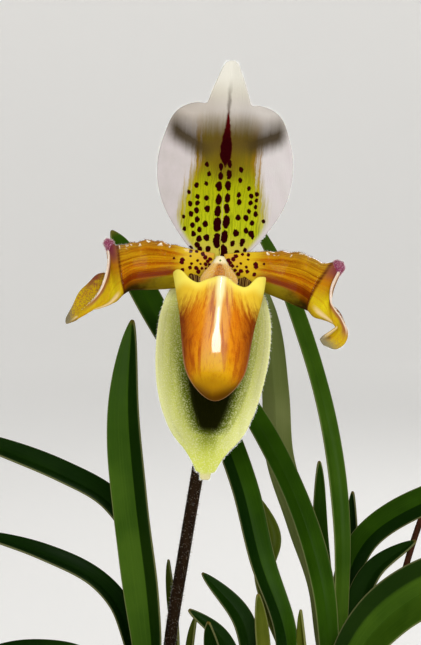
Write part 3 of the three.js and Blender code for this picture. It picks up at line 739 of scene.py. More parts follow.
def leafFinish(tone, dim, border, reach):
    made = Finish(tone + "LeafFinish", leaves, Specular_IOR_Level=0, Coat_Weight=0.06, Coat_Roughness=0.34)
    u, v = made.sheet()
    side = abs(u * 2 - 1)
    veins = made.streaks(2, u * 26, v * 1.2)
    fine = made.streaks(2, u * 80, v * 2.4)
    mottle = made.body().grain(38.0, 3.0)
    coats = [
        (tone + "Light", mottle.step(0.4, 0.7) * 0.6),
        (tone + "Light", veins.step(0.5, 0.7) * 0.3),
        (tone, side.step(0.06, 0.0) * 0.7),
    ]
    # painted shade: one side of the blade darker, where it lies in its own shade
    if dim:
        half = ((u - border) * dim).step(-0.01, 0.04) * v.step(reach + 0.1, reach - 0.06)
        coats.append(("dark", half * 0.8))
    colour = made.paint(
        tone,
        *coats,
        ("margin", (side + (mottle - 0.5) * 0.03).step(0.955, 0.99) * 0.34),
        ("foot", v.step(0.12, 0.0) * 0.6),
        ("tip", v.step(0.985, 1.0) * 0.5),
    )
    return made.done(colour, veins + fine * 0.5, 0.22, 0.25, Roughness=0.36 + 0.2 * mottle)


def makeLeaves():
    finishes = {}
    for growth, place, core, fan in growths:
        for order, leaf in enumerate(fan):
            words = f"leaf_{growth}_{order + 1}"
            rows = leafRows(words, place, core, order, len(fan), leaf)
            blade = bentSheet("blade_" + words, rows, leaves["thickness"])
            look = (leaf[0], *own("paintedShadeSide", words))
            if look not in finishes:
                finishes[look] = leafFinish(*look)
            slot = "young_leaf" if len(leaf[-1]) < 3 else "leaf"  # the short ones are still young
            settle(blade, slot, finishes[look], words)


makeLeaves()
print("leaves ready")

stems = {
    "scape": [(-29, 3, 89), (-29, 2, 112), (-27, 0, 135), (-22, -5, 167), (-17, -10, 198), (-14, -14, 222)],
    "scapeRadius": 1.95,
    "oldScape": [(39, 27, 89), (39, 27, 100), (43, 30, 118), (48, 33, 139), (54, 39, 157), (61, 45, 174)],
    "oldRadius": 1.2,
    "ovary": [
        (-13.9, -14.1, 222.6), (-13, -16, 236), (-12, -22, 248), (-12, -32, 254.5), (-12, -46.2, 253.9),
    ],
    "ovaryRadius": 2.1,
    "bract": [(-14.2, -10.6, 220), (-13, -11, 232), (-12, -13, 246), (-11, -10, 258)],
    "bractRadius": 4.2,
    "bractHalfWidth": 8,
    "bractThickness": 0.7,
    "down": {"length": 0.9, "radius": 0.045, "spread": 0.25},
    # painted shade: the scape's brown and purple and the hairs' tone are darker than their own colour, for
    # the shade under the flower
    "brown": (38, 26, 13),
    "purple": (27, 16, 10),
    "green": (96, 104, 44),
    "rib": (66, 44, 26),
    "hair": (122, 108, 94),
    "dry": (64, 35, 21),
}


def scapeRadius(share, angle):
    return stems["scapeRadius"]


def oldRadius(share, angle):
    return stems["oldRadius"] * (0.9 + 0.1 * math.sin(5 * angle + 9 * share))


# six low ribs, a swollen middle, and wider where the sepals grow from it
def ovaryRadius(share, angle):
    swell = stems["ovaryRadius"]
    if share * 1.1 < 1:
        swell += math.sin(math.pi * share * 1.1) ** 0.7
    swell += 2 * smooth(share, 0.92, 1)
    return swell * (1 + 0.07 * math.cos(6 * angle))


def bractRows():
    steps, columns, radius = 30, 16, stems["bractRadius"]
    places, ways, _ = evenRun(stems["bract"], steps)
    rows = []
    for share, place, way in zip(shares(steps), places, ways):
        facing = Vector((0, -1, 0.2))
        facing = (facing - way * facing.dot(way)).normalized()
        across = way.cross(facing)
        width = stems["bractHalfWidth"] * math.sqrt(max(1 - share**3, 0.01))
        turns = [c * width / radius for c in spans(columns)]
        curl = [(radius * math.sin(t), radius * (1 - math.cos(t))) for t in turns]
        rows.append([place + across * sideways + facing * inwards for sideways, inwards in curl])
    return rows


def stemFinish(name, main, second, roughness):
    made = Finish(name, stems, Roughness=roughness, Specular_IOR_Level=0.04)
    x, y, z = made.body().axes()
    streaks = made.streaks(3, x * 900, y * 900, z * 60)
    return made.done(made.paint(main, (second, streaks.step(0.4, 0.7) * 0.8)), streaks, 0.4, 0.3)


def makeStems():
    scape = tube("scapeStem", stems["scape"], 60, 20, scapeRadius)
    settle(scape, "stem", stemFinish("scapeFinish", "brown", "purple", 0.6), "scape")
    oldScape = tube("oldScapeStem", stems["oldScape"], 40, 14, oldRadius)
    settle(oldScape, "stem", stemFinish("dryStemFinish", "dry", "brown", 0.8), "old_scape")
    ovaryFinish = stemFinish("ovaryFinish", "green", "rib", 0.55)
    ovary = tube("ovaryNeck", stems["ovary"], 48, 48, ovaryRadius)
    settle(ovary, "ovary", ovaryFinish, "ovary")
    bract = bentSheet("bractSheath", bractRows(), stems["bractThickness"])
    settle(bract, "ovary", ovaryFinish, "floral_bract")
    hair = hairFinish("stemHairFinish", srgb(*stems["hair"]))
    growOver(scape, "scapeHairs", "stem", hair, stems["down"], 2600, 11)
    growOver(ovary, "ovaryHairs", "ovary", hair, stems["down"], 1500, 13)


makeStems()
print("stems ready")

flower = {"place": (-12, -48, 255), "noseUp": 4, "roll": 3.7}
flowerPlace = Vector(flower["place"])
flowerTurn = Matrix.Rotation(-math.radians(flower["noseUp"]), 3, "X")
flowerTurn = flowerTurn @ Matrix.Rotation(math.radians(flower["roll"]), 3, "Y")
whiteDown = hairFinish("whiteDownFinish", (0.86, 0.84, 0.8, 1))


# a point in the flower's frame: across, away from the viewer and up
def inFlower(x, y, z):
    return flowerPlace + flowerTurn @ Vector((x, y, z))


# how far a point is from the nearest of many spots (x, z, radius), each taller than wide
def spotField(x, z, spots, tall):
    at = x.point(x, z / tall)
    nearest = None
    for middle, height, radius in spots:
        ends = {0: at, 1: (middle, height / tall, 0)}
        away = at.node("VectorMath", {"operation": "DISTANCE"}, ends, 1) - radius
        nearest = away if nearest is None else nearest.atMost(away)
    return nearest


def sepalRows(sepal, depth):
    edge = [(x, 0, z) for x, z in sepal["edge"]]
    rows = []
    for share in shares(sepal["rows"]):
        rim = curveAt(edge, share)
        centre = lerp(edge[0][2], edge[-1][2], share)
        row = []
        for c in spans(sepal["columns"]):
            x, z = c * rim.x, lerp(centre, rim.z, abs(c) ** 1.6)
            row.append(inFlower(x - 0.45 * hump(z, -38, 13), depth(x, z), z))
        rows.append(row)
    return rows


dorsal = {
    "edge": [
        (3.2, -0.6), (8.9, 3.9), (13, 9), (15.8, 13.4), (17.7, 17.7), (18.7, 22.3), (18.9, 26.8),
        (18.3, 31.5), (17.1, 35.4), (15.5, 39), (13.7, 41.2), (11.1, 42.8), (8.5, 43.4), (6.3, 43.4),
        (5.05, 46.4), (3.8, 49.8), (2.5, 53.2), (1.6, 54.9), (0.4, 55.5),
    ],
    "rows": 84,
    "columns": 44,
    "thickness": 0.7,
    # spots: reach, top, gap, radius high up and low down of each column; their height to width; seed
    "sideSpots": (
        [(4.7, 26.6, 1.6, 0.58, 0.8), (7, 20.6, 1.1, 0.55, 0.78), (9, 19.6, 1.2, 0.52, 0.74),
         (10.7, 12.6, 2.6, 0.44, 0.6)], 1.22, 5,
    ),
    "middleSpots": ([(1.25, 26.9, 0.5, 0.66, 1.12)], 1.8, 12),
    "fringe": {"length": 0.75, "radius": 0.05, "spread": 0.3},
    "white": (188, 183, 181), "dim": (172, 165, 162), "lilac": (186, 176, 178), "tip": (202, 199, 188),
    "green": (148, 150, 10), "bright": (176, 184, 26), "vein": (104, 114, 6), "foot": (188, 172, 68),
    "olive": (98, 82, 16), "halo": (92, 74, 14), "rust": (150, 106, 18), "reverse": (172, 172, 104),
    "spot": (34, 2, 4), "stripe": (72, 5, 7), "keel": (172, 158, 110),
    # tones of painted shade
    "paleShade": (150, 138, 114), "shade": (56, 45, 24), "warmShade": (80, 64, 26),
}


def dorsalDepth(x, z):
    lean = 1.6 - 0.1 * z
    cup = 0.0055 * x * x * smooth(z, 2, 20)
    step = 4.2 * smooth(z, 33, 40.5) * (0.55 + 0.45 * smooth(abs(x), 2, 9))
    brim = 2.4 * smooth(z, 40.5, 46) * smooth(abs(x), 5, 11)
    hood = 1.1 * smooth(z, 41, 50) * (1 - hump(x, 0, 2.2))
    ripple = 0.25 * math.sin(0.55 * z + x) * smooth(abs(x), 12, 18)
    return lean - cup - step + brim - hood + ripple


# columns of spots that draw together towards the base
def dorsalSpots(columns, tall, seed):
    random = np.random.default_rng(seed)
    spots = []
    for side in (-1, 1):
        for reach, top, gap, high, low in columns:
            z = top + random.uniform(-0.8, 0.6)
            while z > 2.4:
                narrow = 1 - 0.3 * smooth(12 - z, 0, 9)
                x = side * reach * narrow + random.normal(0, 0.06 * reach)
                radius = lerp(low, high, smooth(z, 4, top)) * random.uniform(0.86, 1.14)
                spots.append((x, z, radius))
                z -= 2 * tall * radius + gap * random.uniform(0.3, 1.7)
    return spots


def dorsalFinish():
    made = Finish("dorsalFinish", dorsal, Roughness=0.6, Specular_IOR_Level=0)
    edge = abs(made.sheet()[0] * 2 - 1)
    behind = made.backwards().step(-0.1, 0.35)
    local = made.flower()
    x, _, z = local.axes()
    x = x + (local.grain(0.55, 2.0) - 0.5) * 0.9
    side = abs(x)
    streaks = made.streaks(3, x * 1.3, z * 0.05)
    fine = made.streaks(2, x * 4.5, z * 0.14)
    sway = streaks - 0.5
    # the yellow-green middle runs out into streaks
    reach = 11.8 - 3.6 * z.step(12, 30) + 0.4 * x.step(-1, 1) + sway * 6.4
    middle = (side - reach).step(1.9, -1.5) * (z + sway * 4).step(42, 34) * edge.step(0.94, 0.74)
    green = made.paint(
        "green",
        ("bright", (z.step(24, 9) + streaks - 0.6) * 0.7),
        ("vein", fine.step(0.46, 0.6) * 0.6),
        ("olive", z.step(20, 28.5) * 0.92),
        ("halo", side.step(5.5, 1) * z.step(21, 26) * (fine + 0.1)),
        ("foot", z.step(9, 3) * 0.8),
        ("rust", (side - reach).step(-3.4, -0.6) * (streaks - 0.2) * z.step(6, 14) * 1.3),
        ("reverse", behind * 0.45),
    )
    # shade under the step of the upper third, darkest in the two lobes
    height = z - (side - 7).atLeast(0.0) * 0.45 + sway * 1.2 + x * 0.09 + x.step(0, -6) * 2.7
    above = 1 - (height - 34.4) / (8.5 - 2.5 * side.step(6, 11))
    above = above.atMost(1.0).atLeast(0.0) ** 1.2
    band = height.step(28.2, 33.4) * above * side.step(18, 14) * (1 - behind * 0.75)
    lobeShade = made.paint("warmShade", ("shade", side.step(3, 9)))
    # spots along the veins, then the pair of columns in the middle
    ragged = (local.grain(1.7, 2.0) - 0.5) * 0.46
    small, big = [
        (spotField(x, z, dorsalSpots(*spots), spots[1]) + ragged).step(0.14, -0.08) * (1 - behind * 0.4)
        for spots in (dorsal["sideSpots"], dorsal["middleSpots"])
    ]
    # the dark middle stripe tapers upwards
    width = 1.66 * z.step(45, 29.5) * z.step(25.6, 30) + (fine - 0.5) * 0.5 - 0.06
    stripe = (side - width).step(0.26, -0.22) * (z + (fine - 0.5) * 4).step(26, 27) * (1 - behind * 0.5)
    colour = made.paint(
        "white",
        # painted shade: the white is dimmer towards the left side
        ("dim", x.step(6, -16)),
        ("lilac", (local.grain(0.3) * 1.5 - 0.45) * z.step(42, 28)),
        ("tip", z.step(42, 48)),
        (green, middle),
        # painted shade: a pale veil over the upper third
        ("paleShade", z.step(34, 40) * z.step(52, 45) * (0.3 + 0.1 * x.step(8, -8))),
        # painted shade: the band under the step, darkest in the two lobes
        (lobeShade, band * (0.86 + 0.1 * side.step(3, 8))),
        # painted shade: a warm patch of it in the middle
        ("warmShade", z.line(37.5, 5.5) * side.line(4, 4) * (1 - behind) * 0.3),
        # a painted fold shadow down the middle of the tip
        ("shade", z.line(43.5, 8) * side.step(0.9, 0.05) * 0.6),
        ("spot", small),
        ("spot", big * side.step(0.04, 0.18)),
        ("keel", side.step(0.2, 0.04) * z.step(5, 8) * z.step(20, 15) * 0.6),
        ("stripe", stripe * z.step(44.5, 40)),
        ("spot", stripe * z.step(42, 33) * 0.95),
    )
    return made.done(colour, fine * 0.8 + local.grain(2.5) * 0.5, 0.4, 0.25)


synsepal = {
    "edge": [
        (3, -4), (12.4, -7.4), (15.2, -13.6), (16, -21), (15.8, -28), (14.9, -35), (13.4, -41.2),
        (11.7, -45.6), (10.4, -48.2), (8.6, -50.6), (6.5, -52.8), (4.8, -55), (3.6, -57), (2.6, -58.8),
        (1.6, -59.3), (1.4, -60.6), (0.8, -61.1),
    ],
    "rows": 76,
    "columns": 40,
    "thickness": 0.7,
    # where the painted shadow in the hollow ends, and how wide it grows
    "shadowEnd": 48.8,
    "shadowWidth": 2.4,
    "fuzz": {"length": 0.4, "radius": 0.035, "spread": 0.35},
    # deep is also the painted shade beside the pouch, and dark the painted shadow in the hollow
    "green": (160, 168, 62), "pale": (200, 203, 118), "deep": (80, 94, 8), "dark": (12, 11, 2),
    "tip": (186, 192, 82), "nub": (194, 184, 140), "down": (210, 210, 164),
}


def synsepalDepth(x, z):
    hollow = 5.5 * hump(z, -27, 22) * (1 - (x / 17) ** 2)
    tip = 3.5 * smooth(-z, 42, 61)
    folds = 0.18 * math.sin(1.6 * x) * smooth(-z, 8, 30) * smooth(17 - abs(x), 0, 8)
    return 2.6 + hollow - tip - 0.012 * x * x * hump(z, -30, 20) + folds


# half the width of the painted shadow in the hollow, so far above its lower end
def shadowHalf(above):
    return synsepal["shadowWidth"] * above**0.42


# only outside the painted shadow in the hollow
def outsideShadow(point, normal):
    spot = flowerTurn.transposed() @ (point - flowerPlace)
    half = shadowHalf(max(spot.z + synsepal["shadowEnd"], 0))
    return abs(spot.x) > half + 1.4 or spot.z < -50.5


def synsepalFinish():
    made = Finish("synsepalFinish", synsepal, Roughness=0.65, Specular_IOR_Level=0)
    u, v = made.sheet()
    local = made.flower()
    x, _, z = local.axes()
    edge = abs(u * 2 - 1)
    veins = made.streaks(2, u * 30, v * 1.4)
    speckle = local.grain(2.6, 2.0)
    # painted shade: deep green beside the pouch, and a painted shadow, nearly black, in the hollow under
    # its toe
    front = made.backwards().step(0.2, -0.1)
    beyond = abs(x - 0.2) - shadowHalf((z + synsepal["shadowEnd"]).atLeast(0.0)) + (veins - 0.5) * 1.6
    pouchShade = beyond.step(3.8, 0.3) * z.step(-8, -33) * z.step(-54, -46.5)
    hollow = beyond.step(1.5, -1.6) * z.step(-27, -34) * z.step(-50.2, -46.4) * front
    colour = made.paint(
        "green",
        ("pale", edge.step(0.5, 0.95) * 0.8),
        ("deep", veins.step(0.5, 0.7) * 0.35),
        ("deep", pouchShade * (0.3 + 0.6 * front)),
        # the painted shadow in the hollow
        ("dark", hollow * 0.97),
        ("tip", z.step(-50, -56) * 0.85),
        ("nub", z.step(-58.8, -60) * 0.9),
        ("down", edge.step(0.8, 1.0) * z.step(-54, -46) * 0.5),
        ("down", speckle.step(0.48, 0.64) * (0.24 + 0.36 * edge) * (1 - hollow)),
    )
    return made.done(colour, speckle + veins * 0.6, 0.5, 0.25)


def makeSepals():
    rims = {}
    for name, node, slot, sepal, depth, finish in (
        ("dorsalSepal", "dorsal_sepal", "dorsal", dorsal, dorsalDepth, dorsalFinish),
        ("synSepal", "synsepal", "synsepal", synsepal, synsepalDepth, synsepalFinish),
    ):
        rims[slot] = sepalRows(sepal, depth)
        piece = bentSheet(name, rims[slot], sepal["thickness"])
        settle(piece, slot, finish(), node)
    for slot, rows in rims.items():
        edges = (0, 420, 0.05, 1.0), (-1, 420, 0.05, 1.0)
        growAlong(rows, slot + "Fringe", slot, whiteDown, dorsal["fringe"], 21, *edges)
    growOver(piece, "synsepalDown", "synsepal", whiteDown, synsepal["fuzz"], 5200, 31, outsideShadow)


makeSepals()
print("sepals ready")

petals = {
    # stations from the foot outwards: upper edge, rib, lower edge, and how far the upper half is cupped
    "left": [
        ((-1.2, 0.4, 2.3), (-1.6, 0.2, -0.2), (-2, 1, -1.8), 0),
        ((-8.3, 0, 3.2), (-8.5, -1.5, -3.6), (-8.2, 1, -6.8), 0),
        ((-14, -0.8, 4.2), (-14, -2.5, -5.1), (-13.7, 1.8, -8.1), 0.2),
        ((-19.7, 0.4, 5), (-19.5, -3, -6.3), (-19.3, 2.8, -8.4), 0.3),
        ((-25, -0.6, 3.8), (-24, -3.5, -7.3), (-24.3, 3.5, -8.5), 0),
        ((-28.7, -1.6, 2.9), (-26, -5.2, -9.2), (-27.3, 3.4, -9), -0.8),
        ((-32.2, 1.6, 4.8), (-27.9, -5, -11.8), (-30, 5, -7.2), 1.4),
        ((-30.9, -1.2, 0.5), (-29.6, -4.6, -13.6), (-31.6, 5, -5), 2),
        ((-31.1, -3.9, -5), (-31.8, -4.5, -14.8), (-34, 4, -5.4), 1.6),
        ((-32.7, -4.8, -10.5), (-34.6, -4.5, -15.7), (-36.4, 2, -8.2), 0.8),
        ((-36.2, -4.2, -15.1), (-37.3, -4, -17.2), (-38.5, 0, -10.8), 0.2),
        ((-39.1, -3, -17.6), (-39.6, -3.2, -19), (-40, -1.4, -15), 0),
        ((-41.2, -2.2, -19), (-41.5, -2, -19.8), (-41.5, -1.2, -18.6), 0),
    ],
    "right": [
        ((1.2, 0.4, 2.3), (1.6, 0.2, -0.2), (2, 1, -1.8), 0),
        ((8, 0, 3.3), (8.2, -1.5, -3.6), (8.2, 1, -6), 0),
        ((13.5, -0.8, 3.8), (13.5, -2.5, -5.1), (13.5, 1.8, -7.4), 0.2),
        ((18.5, 0.4, 4.2), (18.9, -3, -6.6), (19.1, 3, -9.2), 0.3),
        ((23.8, -0.6, 3.9), (23.5, -3.5, -8.3), (23.5, 3.5, -10.6), 0),
        ((28.9, -1.6, 1.8), (25.7, -5.2, -9.7), (26.6, 3.4, -11.2), -0.8),
        ((35, 1.4, 2.4), (28.3, -5, -12.2), (28.4, 5, -10.6), 1.2),
        ((33.2, -1.2, -1), (30.2, -4.8, -13.4), (30.6, 6, -10), 1.8),
        ((31.6, -3.6, -5), (31.8, -4.6, -14.4), (32.6, 6, -10), 1.6),
        ((31.9, -4.6, -9.4), (33.2, -4.6, -15.4), (34.4, 5, -11.2), 1),
        ((34.8, -3.6, -13.2), (33.6, -5, -16.2), (35.8, 3.6, -13.4), 1),
        ((37.2, -2, -17.2), (32.8, -5.4, -17), (36.8, 3, -16), 2.6),
        ((36.6, -2, -20.4), (31.7, -5.4, -17.9), (35.6, 2.6, -18.8), 2.8),
        ((34, -2.6, -22.3), (30.4, -5, -18.9), (33, 1, -20.4), 1.6),
        ((30.6, -3.8, -21.4), (29.4, -4.2, -20), (30.6, -2.6, -20.6), 0.2),
    ],
    "rows": 110,
    "columns": 28,
    "thickness": 0.7,
    # where along it each petal turns, and how much later its upper corner does
    "turns": {"left": (0.418, 0.0), "right": (0.352, 0.034)},
    "spotRows": 5,
    "lashes": {"length": 0.6, "radius": 0.05, "spread": 0.4},
    "ciliae": {"length": 0.5, "radius": 0.09, "spread": 0.3},
    "orange": (168, 90, 5), "amber": (178, 124, 10), "red": (112, 38, 2), "brown": (78, 30, 6),
    "lower": (122, 104, 14), "lowerOut": (50, 34, 3), "yellow": (184, 164, 10), "base": (176, 138, 22),
    "foot": (206, 172, 30), "flush": (186, 112, 84), "spot": (66, 4, 10), "glint": (244, 238, 214),
    "pocket": (206, 190, 22), "rim": (132, 76, 50), "hem": (204, 178, 128), "margin": (112, 46, 44),
    "cream": (212, 190, 168), "end": (112, 108, 90), "purple": (104, 38, 56),
}


def petalRows(side):
    stations, turnsAt = petals[side], petals["turns"][side][0]
    rails = [[station[k] for station in stations] for k in range(3)]
    rows = []
    for share in shares(petals["rows"]):
        at = share * (len(stations) - 1)
        k = min(int(at), len(stations) - 2)
        cup = lerp(stations[k][3], stations[k + 1][3], at - k)
        upper, rib, lower = [curveAt(rail, share) for rail in rails]
        row = []
        for c in spans(petals["columns"]):
            p = upper * (c * (c - 1) / 2) + rib * (1 - c * c) + lower * (c * (c + 1) / 2)
            if c < 0:
                p.y += cup * 4 * -c * (1 + c)
            # the upper margin is finely waved and rolls back
            wave = smooth(-c, 0.62, 1) * smooth(share, 0.08, 0.2) * smooth(turnsAt + 0.06 - share, 0, 0.06)
            roll = 1.2 * smooth(-c, 0.86, 1)
            p.y += wave * (0.6 * math.sin(share * 83) + 0.3 * math.sin(share * 141 + 2) + roll)
            p.z += wave * (0.2 * math.sin(share * 97 + 1) + 0.1 * math.sin(share * 263))
            row.append(inFlower(*p))
        rows.append(row)
    return rows


# spots on fans of lines from the petal's foot
def petalSpots(sign, seed):
    random = np.random.default_rng(seed)
    spots = []
    for k in range(petals["spotRows"]):
        tilt = lerp(0.42, -0.46, k / (petals["spotRows"] - 1))
        reach = random.uniform(2.2, 3.2)
        while reach < 12.8 - 5 * abs(tilt) - 2 * (k == 0):
            turn = tilt + random.normal(0, 0.06)
            x = sign * reach * math.cos(turn)
            spots.append((x, reach * math.sin(turn) - 0.6, random.uniform(0.32, 0.68)))
            reach += random.uniform(1.0, 2.9)
    return spots


def petalFinish(side):
    turnsAt, turnBend = petals["turns"][side]
    made = Finish(side + "PetalFinish", petals, Specular_IOR_Level=0, Coat_Roughness=0.14)
    u, v = made.sheet()
    local = made.flower()
    x, _, z = local.axes()
    fine = made.streaks(3, u * 34, v * 1.8)
    broad = made.streaks(2, u * 13, v * 2.2)
    thread = made.streaks(2, u * 92, v * 7)
    blotch = local.grain(0.5, 3.0)
    speck = local.grain(2.8, 2.0)
    drift = (blotch - 0.5) * 0.1
    # veins along the petal, a broad dark red one above the rib, and the yellow-green underneath
    outwards = v.step(0.02, 0.14) * 0.5
    ragged = (fine - 0.5) * 0.08
    lower = (u + ragged * 0.7).step(0.43, 0.495)
    stripe = (u + ragged).step(0.29, 0.4) * (1 - lower) * v.step(0.06, 0.18)
    under = made.paint(
        "lower",
        ("lowerOut", (v + drift).step(0.17, 0.31)),
        ("orange", u.step(0.62, 0.46) * v.step(0.2, 0.3) * 0.4),
    )
    # the turned end: yellow inside, flushed margins, pale hems that are partly a painted highlight on the
    # rolled fold, and a dark line at the turn that is a painted shadow
    corner = (1 - u * 2).atLeast(0.0)
    past = v - turnsAt - turnBend * corner * corner
    wide = 1 / (0.06 + 0.05 * v.step(0.74, 0.84))
    inside = made.paint(
        "yellow",
        ("base", blotch),
        ("pocket", past.line(0.1, 0.1) * u.line(0.34, 0.24) * 0.9),
        ("orange", fine.step(0.46, 0.66) * 0.3),
        ("orange", past.line(0.03, 0.12) * u.step(0.42, 0.12) * 0.8),
        ("rim", speck.step(0.48, 0.6) * (0.15 + 0.6 * u.step(0.55, 0.7))),
        ("rim", (u + drift).step(0.17, 0.08) * v.step(0.86, 0.76) * 0.85),
        # pale hems along the rolled fold, partly their own colour and partly a painted highlight
        ("hem", (abs(u - 0.5) * wide).step(1, 0.1) * past.step(0.02, 0.08) * 0.9),
        ("brown", (u + drift).line(0.34, 0.1) * v.line(0.9, 0.05) * 0.7),
        ("margin", (u + drift * 1.2).step(0.9, 0.98) * v.line(0.68, 0.16) * 0.9),
        ("cream", u.step(0.055, 0.035) * past.step(0.075, 0.11) * v.step(0.82, 0.74)),
    )
    # the foot is yellow with a pink flush and dark spots, and painted glints stand along the upper margin
    reach = abs(x) + (broad - 0.5) * 7
    spots = spotField(x, z, petalSpots(-1 if side == "left" else 1, 7), 1.0)
    spots = (spots + (local.grain(1.9, 2.0) - 0.5) * 0.6).step(0.12, -0.07)
    glintSpots = local.grain(0.62, 1.0).step(0.61, 0.65) * u.step(0.062, 0.035)
    colour = made.paint(
        "amber",
        ("orange", broad.step(0.4, 0.6) * 0.85),
        ("base", u.step(0.24, 0.04) * v.step(turnsAt - 0.2, turnsAt) * 0.7),
        ("red", fine.step(0.46, 0.66) * outwards),
        ("red", thread.step(0.46, 0.62) * outwards),
        ("yellow", speck.step(0.55, 0.67) * 0.3),
        (under, lower),
        ("red", stripe * 0.95),
        ("brown", stripe * thread.step(0.4, 0.6) * 0.5),
        (inside, past.step(-0.004, 0.014)),
        # a painted shadow: the dark line along the turn
        ("brown", past.line(0.0, 0.013) * (0.4 + fine * 0.8)),
        ("end", (v + (speck - 0.5) * 0.1).step(0.86, 0.97) * 0.85),
        ("purple", past.line(0.045, 0.06) * u.step(0.2, 0.03)),
        ("foot", reach.step(13.5, 8.5) * 0.9),
        ("flush", reach.step(6.5, 2.5) * blotch.step(0.34, 0.64) * 0.5),
        ("spot", spots * v.step(0.34, 0.3)),
        ("brown", u.step(0.03, 0.0) * past.step(0.0, -0.03) * fine * 0.5),
        # painted highlights: the glints along the upper margin
        ("glint", glintSpots * v.line(turnsAt * 0.55, turnsAt * 0.5)),
    )
    wet = 0.03 + u.step(0.085, 0.03) * past.step(0.03, -0.02) * v.step(0.05, 0.12) * 0.9
    varying = {"Roughness": 0.46 + 0.2 * fine, "Coat_Weight": wet}
    return made.done(colour, fine + thread * 0.4 + speck * 0.5, 0.4, 0.3, **varying)


knobs = {
    "left": ((-31, 0.2, 2.8), 1.65),
    "right": ((33.5, 0.3, 0.7), 1.9),
    "hairs": 700,
    "fur": {"length": 0.55, "radius": 0.05, "spread": 0.3},
    "purple": (130, 56, 84), "dark": (84, 22, 40), "pink": (206, 150, 172), "furTone": (196, 146, 158),
}


def knobFinish():
    made = Finish("knobFinish", knobs, Roughness=0.6, Specular_IOR_Level=0)
    grain = made.flower().grain(1.6, 3.0)
    dark, pink = ("dark", grain.step(0.45, 0.6) * 0.8), ("pink", grain.step(0.54, 0.68) * 0.7)
    return made.done(made.paint("purple", dark, pink), grain, 0.7, 0.4)


# the furry knob where a petal's upper margin turns
def makeKnob(side):
    place, radius = knobs[side]
    deselectAll()
    bpy.ops.mesh.primitive_ico_sphere_add(subdivisions=4, radius=radius * mm)
    knob = bpy.context.active_object
    knob.name = knob.data.name = "petalKnob" + side.title()
    for vertex in knob.data.vertices:
        p = vertex.co / mm
        swell = 1 + 0.22 * noise.noise(p * 0.55 + Vector((3, 1, 5))) + 0.05 * noise.noise(p * 2.2)
        # it draws out into the margin below
        lean = smooth(-p.z, -0.4, 2.2)
        p = Vector((p.x * (1 - 0.45 * lean), p.y * (0.8 - 0.3 * lean), p.z * (1 + 0.55 * lean))) * swell
        vertex.co = inFlower(*(Vector(place) + p)) * mm
    bpy.ops.object.shade_smooth()
    settle(knob, "petal", knobFinish())
    return knob


def makePetals():
    brownDown = hairFinish("brownDownFinish", srgb(*petals["brown"]))
    pinkDown = hairFinish("pinkDownFinish", srgb(*knobs["furTone"]))
    for side in ("left", "right"):
        turnsAt = petals["turns"][side][0]
        rows = petalRows(side)
        petal = bentSheet("petal" + side.title(), rows, petals["thickness"])
        settle(petal, "petal", petalFinish(side), "petal_" + side)
        upper = (0, 260, 0.06, turnsAt)
        growAlong(rows, side + "PetalLashes", "petal", brownDown, petals["lashes"], 41, upper)
        ends = (0, 260, turnsAt, 1.0), (-1, 220, turnsAt, 1.0)
        growAlong(rows, side + "PetalDown", "petal", whiteDown, petals["lashes"], 43, *ends)
        fold = rows[round(turnsAt * petals["rows"])]
        roots = [fold[j].lerp(fold[j + 1], w / 4)[:] for j in range(2, 15) for w in range(4)]
        ways = [(flowerTurn @ Vector((0.3, -1, 0.1)))[:]] * len(roots)
        makeHairs(side + "PetalCiliae", "petal", whiteDown, petals["ciliae"], 48, roots, ways)
        knob = makeKnob(side)
        growOver(knob, side + "KnobFur", "petal", pinkDown, knobs["fur"], knobs["hairs"], 46)


makePetals()
print("petals ready")

lip = {
    # height, half width, and how far its front and back stand from the flower's middle
    "rings": [
        (-38.25, 0, -14.4, -14.4), (-37.7, 2, -17.2, -11.6), (-36.1, 4.2, -20, -9),
        (-33.1, 6.7, -22.6, -6.6), (-30.1, 8.2, -23.8, -5.6), (-27.1, 8.9, -24.4, -4.9),
        (-22, 9.5, -24.7, -4.3), (-15, 10.35, -23.9, -3.8), (-9, 11.5, -22.4, -3.4), (-3, 12.7, -20.8, -3),
    ],
    # across and height of the front rim, with its two ears and the rise between them
    "brow": [
        (-12.7, -4), (-11.9, -3.4), (-10, -3.7), (-8.7, -5.1), (-6.9, -6.2), (-5.8, -6.45), (-4.4, -5.9),
        (-2.2, -5), (0.1, -4.25), (2.4, -4.5), (4.2, -5.9), (5.6, -6.6), (8.3, -6.4), (9.3, -5.2),
        (10.1, -4.3), (12.8, -3.7),
    ],
    "wall": 0.9,
    "sides": 128,
    "rows": 60,
    "orange": (184, 94, 8), "amber": (208, 136, 18), "gold": (198, 152, 10), "brown": (106, 40, 5),
    "vein": (154, 64, 6), "yellow": (214, 178, 46), "lemon": (232, 218, 92), "toe": (148, 104, 3),
    "under": (82, 46, 6), "back": (180, 140, 100), "cream": (234, 218, 158), "inside": (138, 106, 48),
    "stripe": (50, 22, 10),
}


def lipRim(x, front):
    back = -6.8 + 2.8 * hump(abs(x), 7, 3.2)
    return lerp(back, through(lip["brow"], x)[0], smooth(front, -0.7, -0.15))


def lipRows():
    bottom = lip["rings"][0][0]
    knots = [(math.sqrt(height - bottom), *sizes) for height, *sizes in lip["rings"]]
    rows = []
    for share in shares(lip["rows"]):
        row = []
        for j in range(lip["sides"] + 1):
            angle = -2 * math.pi * j / lip["sides"] + math.pi / 2
            front = -math.sin(angle)
            height = lerp(bottom, lipRim(12.6 * math.cos(angle), front), share**1.8)
            halfWidth, near, far = through(knots, math.sqrt(height - bottom))
            # the right side flares a little more
            x = -0.05 - 0.03 * height + halfWidth * math.cos(angle)
            x += 0.9 * hump(height, -10, 8) * max(math.cos(angle), 0)
            # the front is a little flatter than a circle
            deep = -max(front, 0) ** 0.88 + max(-front, 0)
            y = (near + far) / 2 + (far - near) / 2 * deep
            # a low ridge runs down the middle of the front
            ridge = 0.75 * hump(x, 0.7, 1.5) * smooth(height, -22, -11) * smooth(front, 0.5, 0.9)
            row.append(inFlower(x, y - ridge, height))
        rows.append(row)
    return rows


